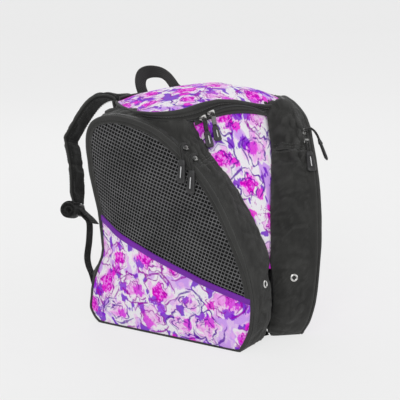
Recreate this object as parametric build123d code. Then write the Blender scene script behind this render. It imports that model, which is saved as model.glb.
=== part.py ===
from build123d import *
import os
from math import sin, cos, radians, hypot

# Skate bag: a free-standing rucksack with a wedge-shaped centre compartment and a flat
# skate pocket on each side.  Millimetres, +Z up.  -Y is the front, +Y rests on the
# wearer's back, +X is to the right when the bag is seen from its front.
# Origin: floor level, on the plane of symmetry.

# ---------------------------------------------------------------- driving dimensions
SPLAY = radians(24.71)               # turn of each pocket away from the centre plane
POCKET_CORNER = Vector(-194, 150, 0)  # lower back outer corner of the left pocket
POCKET_DEPTH = 66.0                  # outer panel to divider
SKIN = 2.5                           # panel thickness
GUSSET_T = 3.0                       # gusset and lid band thickness
FORWARD = Vector(sin(SPLAY), -cos(SPLAY), 0)   # along the left pocket, back to front
INWARD = Vector(cos(SPLAY), sin(SPLAY), 0)     # from its outer face into the pocket

os.makedirs("parts", exist_ok=True)
parts = {}


# ---------------------------------------------------------------- helpers
def smooth(points, steps=3):
    """Catmull-Rom curve through the points, with so many steps a span."""
    curve = []
    for i in range(len(points) - 1):
        before, start, end = points[max(i - 1, 0)], points[i], points[i + 1]
        after = points[min(i + 2, len(points) - 1)]
        for k in range(steps):
            t = k / steps
            curve.append(tuple(
                0.5 * (2 * b + (c - a) * t + (2 * a - 5 * b + 4 * c - d) * t * t
                       + (3 * b - a - 3 * c + d) * t ** 3)
                for a, b, c, d in zip(before, start, end, after)))
    curve.append(tuple(float(v) for v in points[-1]))
    return curve


def shift(points, distance, closed=False):
    """Offset a polyline to its left."""
    count, moved = len(points), []
    for i, (x, y) in enumerate(points):
        before = points[(i - 1) % count] if closed or i > 0 else points[i]
        after = points[(i + 1) % count] if closed or i < count - 1 else points[i]
        dx, dy = after[0] - before[0], after[1] - before[1]
        length = hypot(dx, dy)
        moved.append((x - dy / length * distance, y + dx / length * distance))
    return moved


def between(one_side, other_side):
    """Closed outline of the strip between two polylines that run the same way."""
    return list(one_side) + list(reversed(other_side))


def with_mirror(points):
    """The points, then their mirror images in x, in reverse order."""
    return points + [(-x, y) for x, y in reversed(points)]


def prism(points, direction, amount):
    """Closed polygon pushed along a direction."""
    outline = Polyline(*[tuple(p) for p in points], close=True)
    return extrude(make_face(outline), amount=amount, dir=tuple(direction))


def slab(points, z0, z1):
    """Plan outline (x, y) raised between two heights."""
    return prism([(x, y, z0) for x, y in points], (0, 0, 1), z1 - z0)


def block(centre, size):
    return Pos(*centre) * Box(*size)


def pocket_point(s, z, depth):
    """Point of the left pocket: s forward along it, z up, depth in from its outer face."""
    return POCKET_CORNER + FORWARD * s + INWARD * depth + Vector(0, 0, z)


def plate(points, depth0, depth1):
    """Outline (s, z) in the pocket's plane, between two depths."""
    return prism([pocket_point(s, z, depth0) for s, z in points], INWARD, depth1 - depth0)


def flip(shape):
    return mirror(shape, about=Plane.YZ)


def both(name, solid):
    """Left piece and its mirror image, as two parts."""
    parts["left_" + name] = solid
    parts["right_" + name] = flip(solid)


def pair(solid):
    """Left piece and its mirror image, as one part."""
    return Compound(children=[solid, flip(solid)])


# ---------------------------------------------------------------- pocket outline
# Columns: s, z.  The four runs go round the pocket, so its inside is on their left.
FLOOR = [(4, 16), (14, 4.5), (32, 0), (120, 0), (205, 0), (285, 0), (297, 6)]
FRONT = smooth([
    (297, 6), (306, 22), (314, 45), (316, 88), (306, 133), (286, 181), (263, 226),
    (240, 260), (217, 284)])
TOP = smooth([
    (217, 284), (192, 306), (171, 322), (142, 338), (106, 349), (76, 353), (59, 353),
    (41, 350), (26, 344), (14, 334), (5, 318), (2, 300)])
BACK = [(2, 300), (0, 240), (-1, 150), (-2, 42), (4, 16)]
OUTLINE = FLOOR[:-1] + FRONT[:-1] + TOP[:-1] + BACK[:-1]


def inset(distance):
    """Pocket outline moved inward; a negative distance grows it."""
    return shift(OUTLINE, distance, closed=True)


def clear_of_pockets(shape, envelope):
    return shape - envelope - flip(envelope)


POCKET_SPACE = plate(inset(-0.4), -8, POCKET_DEPTH + SKIN + 0.4)
LEFT_HALF = block((-300.5, 0, 200), (600, 900, 900))    # ends 0.5 short of the centre plane


# ---------------------------------------------------------------- gusset and grommet
def gusset_strip(run):
    strip = between(run, shift(run, GUSSET_T))
    return plate(strip, 4.0, POCKET_DEPTH - 0.4) & LEFT_HALF


GROMMET_NORMAL = (FORWARD * 0.976 + Vector(0, 0, 0.217)).normalized()
GROMMET_PLANE = Plane(origin=pocket_point(312.75, 103, 37.3), z_dir=GROMMET_NORMAL)


def grommet_disc(radius, start, length):
    return extrude(GROMMET_PLANE.offset(start) * Circle(radius), amount=length)


def grommet():
    """Outer flange, inner flange and barrel, bored through."""
    body = (grommet_disc(6.6, 0.15, 1.0) + grommet_disc(6.2, -4.4, 0.9)
            + grommet_disc(4.0, -4.4, 5.0))
    return body - grommet_disc(3.1, -8, 16)


# each strip is trimmed by its neighbours where they overlap
floor_strip = gusset_strip(FLOOR)
front_strip = gusset_strip(FRONT) - floor_strip
top_strip = gusset_strip(TOP) - front_strip
both("pocket_floor", floor_strip)
both("gusset_top", top_strip)
both("pocket_back", gusset_strip(BACK) - top_strip - floor_strip)

eyelet = grommet()
both("gusset_front", front_strip - grommet_disc(4.2, -8, 16) - eyelet)
parts["grommets"] = pair(eyelet)

# divider between the pocket and the centre compartment
both("divider", plate(inset(3.4), POCKET_DEPTH, POCKET_DEPTH + SKIN) & LEFT_HALF)

# ---------------------------------------------------------------- outer panel
EDGE_ROLL = 8.0                      # width of the rolled edge piping
ACCENT_HALF = 4.5                    # half width of the accent piping
PANEL_CUT = ACCENT_HALF + 0.3        # panels stop this far from the accent's centre line
FLAP_END = 178.0                     # the folding part of the mesh panel stops at this s
HINGE_A, HINGE_B = (2.0, 300.0), (183.0, 314.5)     # points (s, z) on the flap's fold line

# accent piping's centre line, back to front: s, z
ACCENT = smooth([
    (-12, 240), (0, 228), (26, 194), (42, 172), (59, 154), (97, 135), (145, 120),
    (193, 107), (239, 97), (279, 89), (315, 85), (330, 83)])

accent = plate(between(shift(ACCENT, -ACCENT_HALF), shift(ACCENT, ACCENT_HALF)), -2.5, SKIN)
both("accent_piping", accent & plate(inset(EDGE_ROLL + 0.4), -5, 5))

# print panel below the accent piping, mesh above it
panel = plate(inset(EDGE_ROLL * 0.5), 0, SKIN)
below_accent = plate(shift(ACCENT, -PANEL_CUT) + [(340, -20), (-30, -20)], -10, 10)
above_accent = plate(shift(ACCENT, PANEL_CUT) + [(340, 420), (-30, 420)], -10, 10)
both("print_panel", panel & below_accent)


def fold_z(s):
    """Height of the flap's fold line."""
    slope_run = HINGE_B[0] - HINGE_A[0]
    return HINGE_A[1] + (s - HINGE_A[0]) * (HINGE_B[1] - HINGE_A[1]) / slope_run


def above(lower_edge):
    """Cutter from a lower edge (s, z), given back to front, up past the pocket's top."""
    return plate(lower_edge + [(lower_edge[-1][0], 420), (-30, 420)], -12, 12)


def above_fold(end, gap):
    return above([(s, fold_z(s) + gap) for s in (-30, end)])


mesh = panel & above_accent
fixed_cut = above_fold(FLAP_END + 1, -0.5)
both("mesh_panel", mesh - fixed_cut)
both("mesh_flap", mesh & above_fold(FLAP_END, 0.5))

# rolled piping round the panel; the part over the flap is separate
roll = plate(OUTLINE, -4, -0.3) - plate(inset(EDGE_ROLL), -6, 1)
lip = plate(OUTLINE, -0.3, 3.4) - plate(inset(EDGE_ROLL * 0.5 - 0.3), -1, 5)
ring = roll + lip
back_corner_cut = above([(-30, fold_z(0) - 2), (60, fold_z(0) - 2)])
both("edge_piping", ring - fixed_cut - back_corner_cut)
both("flap_piping", ring & above([
    (-30, fold_z(0) + 18), (30, fold_z(30) + 18), (60, fold_z(60) + 6),
    (FLAP_END - 6, fold_z(FLAP_END) + 7)]))

# pocket zipper coil, just outside the top of the gusset
both("pocket_zip", plate(between(shift(TOP, -2.0), shift(TOP, -0.2)), 5.0, 11.5))


# ---------------------------------------------------------------- zipper sliders and pulls
def slider(frame):
    """Slider: x along the zipper, y across it, z away from the tape."""
    body = prism([(-6.5, -3.2), (-2, -4.2), (5, -4.2), (6.5, -2.8),
                  (6.5, 2.8), (5, 4.2), (-2, 4.2), (-6.5, 3.2)], (0, 0, 1), 2.0)
    bail = block((0, 0, 3.4), (8.6, 1.8, 3.2)) - block((0, 0, 3.0), (5.4, 4, 2.2))
    return frame * (body + bail)


def pull(frame, length, grip_length):
    """Cord and grooved grip: hangs along the frame's -y, z is away from the bag."""
    bottom, top = -length, grip_length - length
    grip = prism(with_mirror([(4.2, bottom), (6.2, bottom + 5), (5.2, top - 6), (3.6, top)]),
                 (0, 0, 1), 4.6)
    grip = chamfer(grip.faces().sort_by(Axis.Z)[-1].edges(), 0.9)
    grip -= block((0, bottom + 14, 4.4), (1.8, 16, 1.0))
    cord_length = length - grip_length
    cord = block((0, -cord_length / 2 - 0.5, 2.3), (4.4, cord_length + 1.5, 2.2))
    return frame * (grip + cord)


ZIP_CENTRE = (65.0, 152.0)           # centre (s, z) of the pocket zipper's arc
ZIP_R = 201.0                        # radius of that arc


def zip_point(angle, radius):
    """Point (s, z) on an arc about the zipper's centre."""
    return ZIP_CENTRE[0] + radius * cos(angle), ZIP_CENTRE[1] + radius * sin(angle)


def pocket_slider(angle):
    along = FORWARD * (-sin(angle)) + Vector(0, 0, cos(angle))
    away = FORWARD * cos(angle) + Vector(0, 0, sin(angle))
    origin = pocket_point(*zip_point(angle, ZIP_R + 3.4), 8.4)
    return slider(Plane(origin=origin, x_dir=along, z_dir=away))


def pocket_pull(angle, length):
    """The arm reaches out over the piping; the pull hangs outside the panel."""
    s, z = zip_point(angle, ZIP_R + 10.4)
    arm = plate([(s - 2.2, z - 0.6), (s + 2.2, z - 0.6), (s + 2.2, z + 1.6), (s - 2.2, z + 1.6)],
                -9.0, 8.6)
    frame = Plane(origin=pocket_point(s, z + 1.4, -5.4), x_dir=FORWARD, z_dir=-INWARD)
    return arm + pull(frame, length, grip_length=32)


# name, parked angle in degrees, pull length
for name, degrees_up, length in (("rear", 51.8, 64), ("front", 45.6, 66)):
    both("slider_" + name, pocket_slider(radians(degrees_up)))
    both("pull_" + name, pocket_pull(radians(degrees_up), length))

# ---------------------------------------------------------------- base and back
BASE_T = 2.6                         # base panel and base board thickness
BASE_PLAN = [(-130.5, 181), (130.5, 181), (2, -97), (-2, -97)]
BOARD_PLAN = [(-118, 176), (118, 176), (4, -78), (-4, -78)]
BOARD_Z = BASE_T + 0.2
BACK_HALF = 126                      # half width of the back panel
RIM_CENTRE = (0, 186.4, 353)

parts["base_panel"] = clear_of_pockets(slab(BASE_PLAN, 0, BASE_T), POCKET_SPACE)
parts["base_board"] = clear_of_pockets(slab(BOARD_PLAN, BOARD_Z, BOARD_Z + BASE_T),
                                       POCKET_SPACE)


def back_curve(offset=0.0):
    """Plan curve (x, y) of the back panel's rear face, moved along y."""
    return [(x, 200 - 12 * (x / 128.0) ** 2 + offset)
            for x in range(-BACK_HALF, BACK_HALF + 1, 21)]


def behind(y):
    """Straight edge that closes a back curve at the given y."""
    return [(BACK_HALF, y), (-BACK_HALF, y)]


parts["back_lining"] = block((0, 183.6, 175), (258, 1.8, 344))
parts["back_pad"] = slab(back_curve(-2.4) + behind(185), 8, 334)
parts["back_panel"] = slab(between(back_curve(), back_curve(-2.2)), 2, 342)
parts["back_rim"] = block(RIM_CENTRE, (216, 3.2, 33.6))

# ---------------------------------------------------------------- lid and collar
LID_CENTRE = (0.0, 90.0, 22.0)       # centre of the lid's dome
LID_R = 364.0                        # radius of the lid's dome
ARCH_HALF, ARCH_RISE, ARCH_Z = 72, 22.0, 346.0    # front arch of the lid opening

# left edge of the lid in plan, front to back: x, y
LID_EDGE = [(-72, 8), (-94, 9), (-112, 20), (-126, 47), (-134, 83), (-132, 125),
            (-120, 168), (-112, 181)]
LID_PLAN = with_mirror(smooth(LID_EDGE, 4))       # clockwise seen from above
LID_PLAN_INNER = shift(LID_PLAN, -GUSSET_T, closed=True)


def lid_ball(radius):
    return Pos(*LID_CENTRE) * Sphere(radius)


def arch_z(x):
    return ARCH_Z + ARCH_RISE * (1 - (x / ARCH_HALF) ** 2)


def lid_band():
    """Wall under the dome, open at the back and over the front arch."""
    wall = slab(LID_PLAN, 346.6, 420) - slab(LID_PLAN_INNER, 340, 430)
    wall = wall & lid_ball(LID_R - SKIN - 0.1)
    wall -= block((0, 190, 380), (400, 30, 200))
    arch = [(x, arch_z(x)) for x in range(-ARCH_HALF, ARCH_HALF + 1, 6)]
    arch += [(ARCH_HALF, 100), (-ARCH_HALF, 100)]
    wall -= prism([(x, -20, z) for x, z in arch], (0, 1, 0), 34)
    return clear_of_pockets(wall, plate(inset(-2.6), -10, 80))


def collar():
    """Upper band of the body; only the strips above the pockets' tops are kept."""
    band = slab(LID_PLAN, 250, 345.8) - slab(LID_PLAN_INNER, 240, 360)
    band -= block((0, 190, 300), (400, 24, 200))
    band -= block((0, 8, 300), (2 * ARCH_HALF + 1, 20, 200))
    band = clear_of_pockets(band, POCKET_SPACE)
    strips = []
    for side in (-1, 1):
        piece = band & block((side * 150, 90, 300), (220, 400, 400))
        strips += [s for s in piece.solids()
                   if s.bounding_box().max.Z > 330 and s.volume > 200]
    return Compound(children=strips)


parts["lid_panel"] = (lid_ball(LID_R) - lid_ball(LID_R - SKIN)) & slab(LID_PLAN, 300, 420)
parts["lid_band"] = lid_band()
parts["collar"] = collar()

# ---------------------------------------------------------------- front panel and lid zipper
# front face in side view, bottom to top: y, z
FRONT_PROFILE = smooth([
    (-97, 116), (-91, 134), (-85, 158), (-73, 192), (-62, 216), (-51, 243), (-35, 272),
    (-17, 299), (-4, 322), (7, 345), (8, 374)], 2)
# left edge of the V in front view, top to bottom: x, z
VEE_EDGE = [(-71, 345), (-70, 343), (-61, 299), (-49, 272), (-37, 243), (-28, 216),
            (-20, 192), (-11, 158), (-5, 134), (-0.6, 119)]
ARCH_R = (ARCH_HALF ** 2 + ARCH_RISE ** 2) / (2 * ARCH_RISE)
ARCH_CENTRE_Z = ARCH_Z + ARCH_RISE - ARCH_R


def front_panel():
    """Curved strip narrowed to a point at the bottom, arched at the top."""
    section = between(FRONT_PROFILE, shift(FRONT_PROFILE, -SKIN))
    strip = prism([(-90, y, z) for y, z in section], (1, 0, 0), 180)
    vee = with_mirror(VEE_EDGE) + [(x, arch_z(x) - 0.8) for x in range(66, -67, -6)]
    strip = strip & prism([(x, -140, z) for x, z in vee], (0, 1, 0), 200)
    strip = clear_of_pockets(strip, POCKET_SPACE)
    return max(strip.solids(), key=lambda s: s.volume)


def arch_point(angle, radius):
    """Point (x, z) on an arc about the arch's centre; degrees from the top towards -X."""
    return -radius * sin(radians(angle)), ARCH_CENTRE_Z + radius * cos(radians(angle))


def lid_zip():
    """Zipper coil along the front arch."""
    angles = range(-30, 31, 4)
    outline = between([arch_point(a, ARCH_R - 7) for a in angles],
                      [arch_point(a, ARCH_R - 1.2) for a in angles])
    return prism([(x, 4.8, z) for x, z in outline], (0, 1, 0), 2.2)


parts["lid_zip"] = lid_zip()
parts["front_panel"] = front_panel() - parts["lid_zip"]

# name, parked angle in degrees, pull length
for name, angle, length in (("left", 27.3, 50), ("right", 19.5, 46)):
    x, z = arch_point(angle, ARCH_R - 4)
    along = Vector(-cos(radians(angle)), 0, -sin(radians(angle)))
    parts["lid_slider_" + name] = slider(
        Plane(origin=(x, 4.4, z), x_dir=along, z_dir=(0, -1, 0)))
    hang_plane = Plane(origin=(x, -3.2, z - 0.6), x_dir=(1, 0, 0),
                       z_dir=Vector(0, -0.888, 0.46))
    parts["lid_pull_" + name] = pull(hang_plane, length, grip_length=26)

# ---------------------------------------------------------------- haul loop
LOOP_LEAN = radians(28.0)            # lean towards the back
LOOP_ORIGIN = Vector(0, 199, 347)
LOOP_T = 1.8


def loop_curve(half_width, height, steps=20):
    """Flattened arch (x, height along the loop), 3 above the loop's origin."""
    angles = [radians(180 * i / steps) for i in range(steps + 1)]
    return [(-half_width * cos(a), height * sin(a) ** 0.62 + 3) for a in angles]


def haul_loop():
    up = Vector(0, sin(LOOP_LEAN), cos(LOOP_LEAN))
    face = Vector(0, -cos(LOOP_LEAN), sin(LOOP_LEAN))
    outline = between(loop_curve(45, 77), loop_curve(25, 56))
    return prism([LOOP_ORIGIN + Vector(x, 0, 0) + up * rise - face * (LOOP_T / 2)
                  for x, rise in outline], face, LOOP_T)


parts["haul_loop"] = haul_loop()
parts["haul_loop_base"] = (block((0, 201.2, 329.5), (92, 1.4, 26))
                           + block((0, 200.6, 343.4), (92, 3.0, 2.4)))

# ---------------------------------------------------------------- shoulder straps (left)
PAD_W, PAD_T = 46.0, 10.0            # shoulder pad
WEB_W, WEB_T = 25.0, 1.8             # webbing
TAB_W = 26                           # anchor tab
STRAP_TOP = Vector(-88, 206, 340)    # upper anchor
STRAP_BOTTOM = Vector(-176, 166, 30)  # lower anchor
STRAP_ACROSS = Vector(0.7728, 0.5634, -0.2921).normalized()     # width direction
STRAP_DOWN = (STRAP_BOTTOM - STRAP_TOP).normalized()
STRAP_OUT = STRAP_ACROSS.cross(STRAP_DOWN).normalized()         # away from the back

# centre lines: u down from the upper anchor, v out from the anchor line
PAD_UPPER = smooth([(-23, 13), (-22, 26), (-18, 46), (-8, 59), (6, 69), (23, 78), (39, 84),
                    (60, 91)], 2)
PAD_LOWER = smooth([(60, 91), (82, 84), (111, 75), (132, 70), (152, 66), (167, 62)], 2)
ROOT = [(14, -9), (2, -3), (-12, 1), (-20, 2)]
WEBBING = smooth([(189.5, 50), (201, 40), (228, 34), (254, 31), (272, 25), (288, 16),
                  (300, 9)], 2)
TAIL = [(178.5, 49), (184, 40), (197, 22)]
TAB_OUTLINE = [(303, 3), (303, 9), (318, 8), (330, -2), (332, -30), (300, -40)]
LOCK_TOP, LOCK_BOTTOM = Vector(168.5, 61.0, 0), Vector(190, 51.5, 0)    # lock's ends (u, v)


def strap_point(u, v, across=0.0):
    return STRAP_TOP + STRAP_DOWN * u + STRAP_OUT * v + STRAP_ACROSS * across


def strap_prism(outline, width):
    return prism([strap_point(u, v, -width / 2) for u, v in outline], STRAP_ACROSS, width)


def ribbon(path, thickness, width):
    return strap_prism(between(shift(path, thickness / 2), shift(path, -thickness / 2)), width)


def strap_root():
    root = ribbon(ROOT, WEB_T, WEB_W)
    root -= slab(back_curve(0.3) + behind(150), -5, 350)
    return root - block(RIM_CENTRE, (218, 4, 36))


def ladder_lock():
    """Rounded frame with two slots, cleared for the pad and the webbing."""
    slope = (LOCK_BOTTOM - LOCK_TOP).normalized()
    along = STRAP_DOWN * slope.X + STRAP_OUT * slope.Y
    middle = strap_point((LOCK_TOP.X + LOCK_BOTTOM.X) / 2, (LOCK_TOP.Y + LOCK_BOTTOM.Y) / 2)
    plane = Plane(origin=middle, x_dir=STRAP_ACROSS,
                  z_dir=STRAP_ACROSS.cross(along).normalized())
    lock = extrude(plane.offset(-2) * RectangleRounded(34, 22, 4), amount=4)
    for slot_y in (4.6, -4.6):
        lock -= extrude(plane.offset(-4) * Pos(0, slot_y, 0) * Rectangle(26.6, 4.2), amount=8)
    return (lock - ribbon(TAIL, WEB_T + 2.4, WEB_W + 1.0)
            - ribbon(WEBBING, WEB_T + 0.3, WEB_W + 0.5)
            - ribbon(PAD_LOWER, PAD_T + 0.4, PAD_W + 1))


both("shoulder_pad", ribbon(PAD_UPPER + PAD_LOWER[1:], PAD_T, PAD_W))
parts["strap_roots"] = pair(strap_root())
both("strap_webbing", ribbon(WEBBING, WEB_T, WEB_W))
both("strap_tail", ribbon(TAIL, WEB_T, WEB_W))
both("ladder_lock", ladder_lock())
parts["anchor_tabs"] = pair(strap_prism(TAB_OUTLINE, TAB_W) - plate(inset(-0.3), -20, 90))

# ---------------------------------------------------------------- output
for name, part in parts.items():
    solids = [s for s in part.solids() if s.volume > 1.0]      # leaves out boolean slivers
    shape = solids[0] if len(solids) == 1 else Compound(children=solids)
    shape.label = name
    export_step(shape, "parts/" + name + ".step")
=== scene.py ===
"""A soft triangular skate bag: two side pockets, a centre compartment under a printed lid,
and a back panel with shoulder straps.

Lengths are millimetres until a mesh is made. +Z is up, the bag stands on z = 0, its front
points to -Y, and the pieces called left lie at -X.
"""
import bpy
import bmesh
import math
import numpy as np
from mathutils import Matrix, Vector


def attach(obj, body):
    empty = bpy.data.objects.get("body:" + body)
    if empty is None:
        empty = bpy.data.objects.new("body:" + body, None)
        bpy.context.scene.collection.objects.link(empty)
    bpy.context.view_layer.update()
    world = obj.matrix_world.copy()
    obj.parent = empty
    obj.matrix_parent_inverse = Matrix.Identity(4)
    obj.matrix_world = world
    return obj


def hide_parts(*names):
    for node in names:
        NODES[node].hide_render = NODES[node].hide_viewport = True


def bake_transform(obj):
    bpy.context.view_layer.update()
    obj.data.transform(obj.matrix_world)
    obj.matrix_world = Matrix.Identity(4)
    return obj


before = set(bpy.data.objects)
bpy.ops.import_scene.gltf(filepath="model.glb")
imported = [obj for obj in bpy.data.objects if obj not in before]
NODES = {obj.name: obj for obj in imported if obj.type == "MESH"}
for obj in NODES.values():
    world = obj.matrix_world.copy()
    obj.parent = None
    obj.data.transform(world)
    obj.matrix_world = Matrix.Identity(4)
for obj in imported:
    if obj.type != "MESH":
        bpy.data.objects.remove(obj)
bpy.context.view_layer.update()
for node in NODES.values():
    node.data.materials.clear()
scene = bpy.context.scene
scene.view_settings.view_transform = "Standard"
scene.view_settings.look = "None"
MM = 0.001
PI = math.pi
UP = np.array([0, 0, 1.0])
ACROSS = np.array([1.0, 0, 0])


# ---------------------------------------------------------------- noise and curves
def lattice(a, b, seed):
    """Repeatable value from 0 to 1 for each whole-number grid point."""
    n = (a * 374761393 + b * 668265263 + seed * 1442695041) & 0xffffffff
    n = ((n ^ (n >> 13)) * 1274126177) & 0xffffffff
    return ((n ^ (n >> 16)) & 0xffff) / 65535.0


def value_noise(x, y, seed):
    xi, yi = np.floor(x).astype(np.int64), np.floor(y).astype(np.int64)
    xf, yf = x - xi, y - yi
    u, v = xf * xf * (3 - 2 * xf), yf * yf * (3 - 2 * yf)
    low = lattice(xi, yi, seed) * (1 - u) + lattice(xi + 1, yi, seed) * u
    high = lattice(xi, yi + 1, seed) * (1 - u) + lattice(xi + 1, yi + 1, seed) * u
    return low * (1 - v) + high * v


def fbm(x, y, seed, octaves):
    """Layered noise from 0 to 1."""
    total, weight, weights = 0, 0.5, 0
    for k in range(octaves):
        total = total + weight * value_noise(x * 2 ** k + 17.3 * k, y * 2 ** k - 9.1 * k,
                                             seed + 31 * k)
        weights += weight
        weight *= 0.5
    return total / weights


def ripple(x, y, seed, octaves):
    """Layered noise about zero."""
    return fbm(x, y, seed, octaves) - 0.5


def ease(a, b, x):
    """Smooth step from 0 at a to 1 at b."""
    t = np.clip((x - a) / (b - a), 0, 1)
    return t * t * (3 - 2 * t)


def bell(x, centre, width):
    return np.exp(-((x - centre) / width) ** 2)


def unit(v):
    v = np.asarray(v, float)
    return v / np.linalg.norm(v, axis=-1, keepdims=True)


def run_length(points):
    """Distance travelled at each point of a path."""
    return np.r_[0, np.cumsum(np.linalg.norm(np.diff(points, axis=0), axis=1))]


def catmull(points, n):
    """Catmull-Rom curve with n steps between points."""
    points = np.array(points, float)
    last = len(points) - 1
    out = []
    for i in range(last):
        p0, p1, p2, p3 = points[max(i - 1, 0)], points[i], points[i + 1], points[min(i + 2, last)]
        for t in np.arange(n) / n:
            out.append(0.5 * (2 * p1 + (p2 - p0) * t + (2 * p0 - 5 * p1 + 4 * p2 - p3) * t * t
                              + (3 * p1 - p0 - 3 * p2 + p3) * t ** 3))
    out.append(points[-1])
    return np.array(out)


def resample(points, step):
    points = np.array(points, float)
    length = run_length(points)
    t = np.linspace(0, length[-1], max(2, int(round(length[-1] / step)) + 1))
    return np.stack([np.interp(t, length, column) for column in points.T], 1)


def right_normals(points):
    """Unit normals to the right of travel: outward on the pocket outline."""
    t = unit(np.gradient(np.asarray(points, float), axis=0))
    return np.stack([t[:, 1], -t[:, 0]], 1)


# ---------------------------------------------------------------- materials
class Shader:
    """A new material with one Principled shader, and short ways to feed it."""

    def __init__(self, name):
        self.material = bpy.data.materials.new(name)
        self.material.use_nodes = True
        tree = self.material.node_tree
        self.nodes, self.links = tree.nodes, tree.links
        self.nodes.clear()
        output = self.add("ShaderNodeOutputMaterial")
        self.surface = self.add("ShaderNodeBsdfPrincipled")
        self.links.new(self.surface.outputs[0], output.inputs[0])
        self.coords = self.add("ShaderNodeTexCoord").outputs

    def add(self, kind):
        return self.nodes.new("ShaderNode" + kind.removeprefix("ShaderNode"))

    def feed(self, socket, value):
        """Links a socket, or sets a number or an RGB colour."""
        if isinstance(value, (int, float)):
            socket.default_value = value
        elif isinstance(value, tuple):
            socket.default_value = (*value, 1)
        else:
            self.links.new(value, socket)

    def set(self, values):
        for key, value in values.items():
            self.feed(self.surface.inputs[key], value)

    def math(self, operation, *values):
        n = self.add("Math")
        n.operation = operation
        for socket, value in zip(n.inputs, values):
            self.feed(socket, value)
        return n.outputs[0]

    def noise(self, scale, detail, rough):
        n = self.add("TexNoise")
        for key, value in (("Scale", scale), ("Detail", detail), ("Roughness", rough),
                           ("Vector", self.coords["Object"])):
            self.feed(n.inputs[key], value)
        return n.outputs["Fac"]

    def ramp(self, fac, *stops):
        """Two-stop ramp; a stop's colour is RGB or one grey value."""
        n = self.add("ValToRGB")
        self.links.new(fac, n.inputs[0])
        for element, (position, colour) in zip(n.color_ramp.elements, stops):
            element.position = position
            element.color = (*colour, 1) if isinstance(colour, tuple) else (*[colour] * 3, 1)
        return n.outputs[0]

    def mix(self, fac, a, b, mode="MIX"):
        n = self.add("Mix")
        n.data_type = "RGBA"
        n.blend_type = mode
        for index, value in ((0, fac), (6, a), (7, b)):
            self.feed(n.inputs[index], value)
        return n.outputs[2]

    def bump(self, height, strength, distance, normal=None):
        n = self.add("Bump")
        n.inputs["Strength"].default_value = strength
        n.inputs["Distance"].default_value = distance
        self.links.new(height, n.inputs["Height"])
        if normal is not None:
            self.links.new(normal, n.inputs["Normal"])
        return n.outputs[0]

    def paint_highlight(self, base, colour, start, end, amount):
        """Painted highlight: lightens the colour on the raised edges."""
        edges = self.ramp(self.add("NewGeometry").outputs["Pointiness"], (start, 0), (end, 1))
        return self.mix(self.math("MULTIPLY", edges, amount), base, colour)

    def weave(self, coords, pitch, twill):
        """Woven relief; pitch is the thread spacing in metres."""
        split = self.add("SeparateXYZ")
        self.links.new(coords, split.inputs[0])
        x, y, z = split.outputs
        turns = 2 * PI / pitch
        warp = self.math("MULTIPLY", x, turns)
        weft = self.math("MULTIPLY", self.math("ADD", y, z), turns)
        if twill:
            return self.math("SINE", self.math("ADD", warp, weft))
        return self.math("MULTIPLY", self.math("SINE", warp), self.math("SINE", weft))


def fabric(name, dark=None, light=None, *, pitch, mottle, sheen=0.25, rough=0.82, relief=0.5,
           spec=0.3, uv=True, twill=False, printed=None, highlight_colour=None):
    """Woven cloth; printed names a colour attribute used instead of dark and light."""
    sh = Shader(name)
    if printed:
        attribute = sh.add("Attribute")
        attribute.attribute_name = printed
        base = attribute.outputs["Color"]
    else:
        base = sh.ramp(sh.noise(26, 4, 0.6), (0.3, dark), (0.7, light))
    fine = sh.noise(420, 2, 0.6)
    broad = sh.noise(9, 2, 0.5)
    shade = sh.math("ADD", sh.math("MULTIPLY", fine, mottle),
                    sh.math("MULTIPLY", broad, mottle * 0.5))
    shade = sh.math("ADD", shade, 1.0 - mottle * 0.75)
    grey = sh.add("CombineColor")
    for k in range(3):
        sh.links.new(shade, grey.inputs[k])
    base = sh.mix(1.0, base, grey.outputs[0], "MULTIPLY")
    weave = sh.weave(sh.coords["UV" if uv else "Object"], pitch, twill)
    thread = sh.ramp(sh.math("ADD", sh.math("MULTIPLY", weave, 0.5), 0.5), (0.0, 0.80), (1.0, 1.12))
    base = sh.mix(1.0, base, thread, "MULTIPLY")
    # painted highlight: the colour is lightened on the raised edges
    if highlight_colour:
        base = sh.paint_highlight(base, highlight_colour, start=0.50, end=0.60, amount=0.5)
    slub = sh.bump(sh.noise(30, 4, 0.6), 0.6, 0.0024)
    sh.set({"Base Color": base,
            "Roughness": sh.ramp(fine, (0.2, rough - 0.08), (0.8, rough + 0.1)),
            "Sheen Weight": sheen, "Sheen Roughness": 0.45, "Sheen Tint": (1, 1, 1),
            "Specular IOR Level": spec,
            "Normal": sh.bump(weave, relief, pitch * 0.25, slub)})
    return sh.material


def plastic(name, colour, *, rough, relief, metal=0.0, highlight_colour=None):
    """Moulded or plated surface with uneven gloss."""
    sh = Shader(name)
    base = sh.ramp(sh.noise(120, 4, 0.6), (0.25, tuple(c * 0.85 for c in colour)),
                   (0.75, tuple(c * 1.18 for c in colour)))
    # painted highlight: the colour is lightened on the raised edges
    if highlight_colour:
        base = sh.paint_highlight(base, highlight_colour, start=0.51, end=0.58, amount=0.6)
    sh.set({"Base Color": base,
            "Roughness": sh.ramp(sh.noise(300, 3, 0.6), (0.3, rough - 0.1), (0.75, rough + 0.125)),
            "Metallic": metal, "Specular IOR Level": 0.5,
            "Normal": sh.bump(sh.noise(900, 3, 0.6), relief, 0.0003)})
    return sh.material


# Where a material is given a last colour, that colour is a painted highlight on its raised edges.
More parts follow.
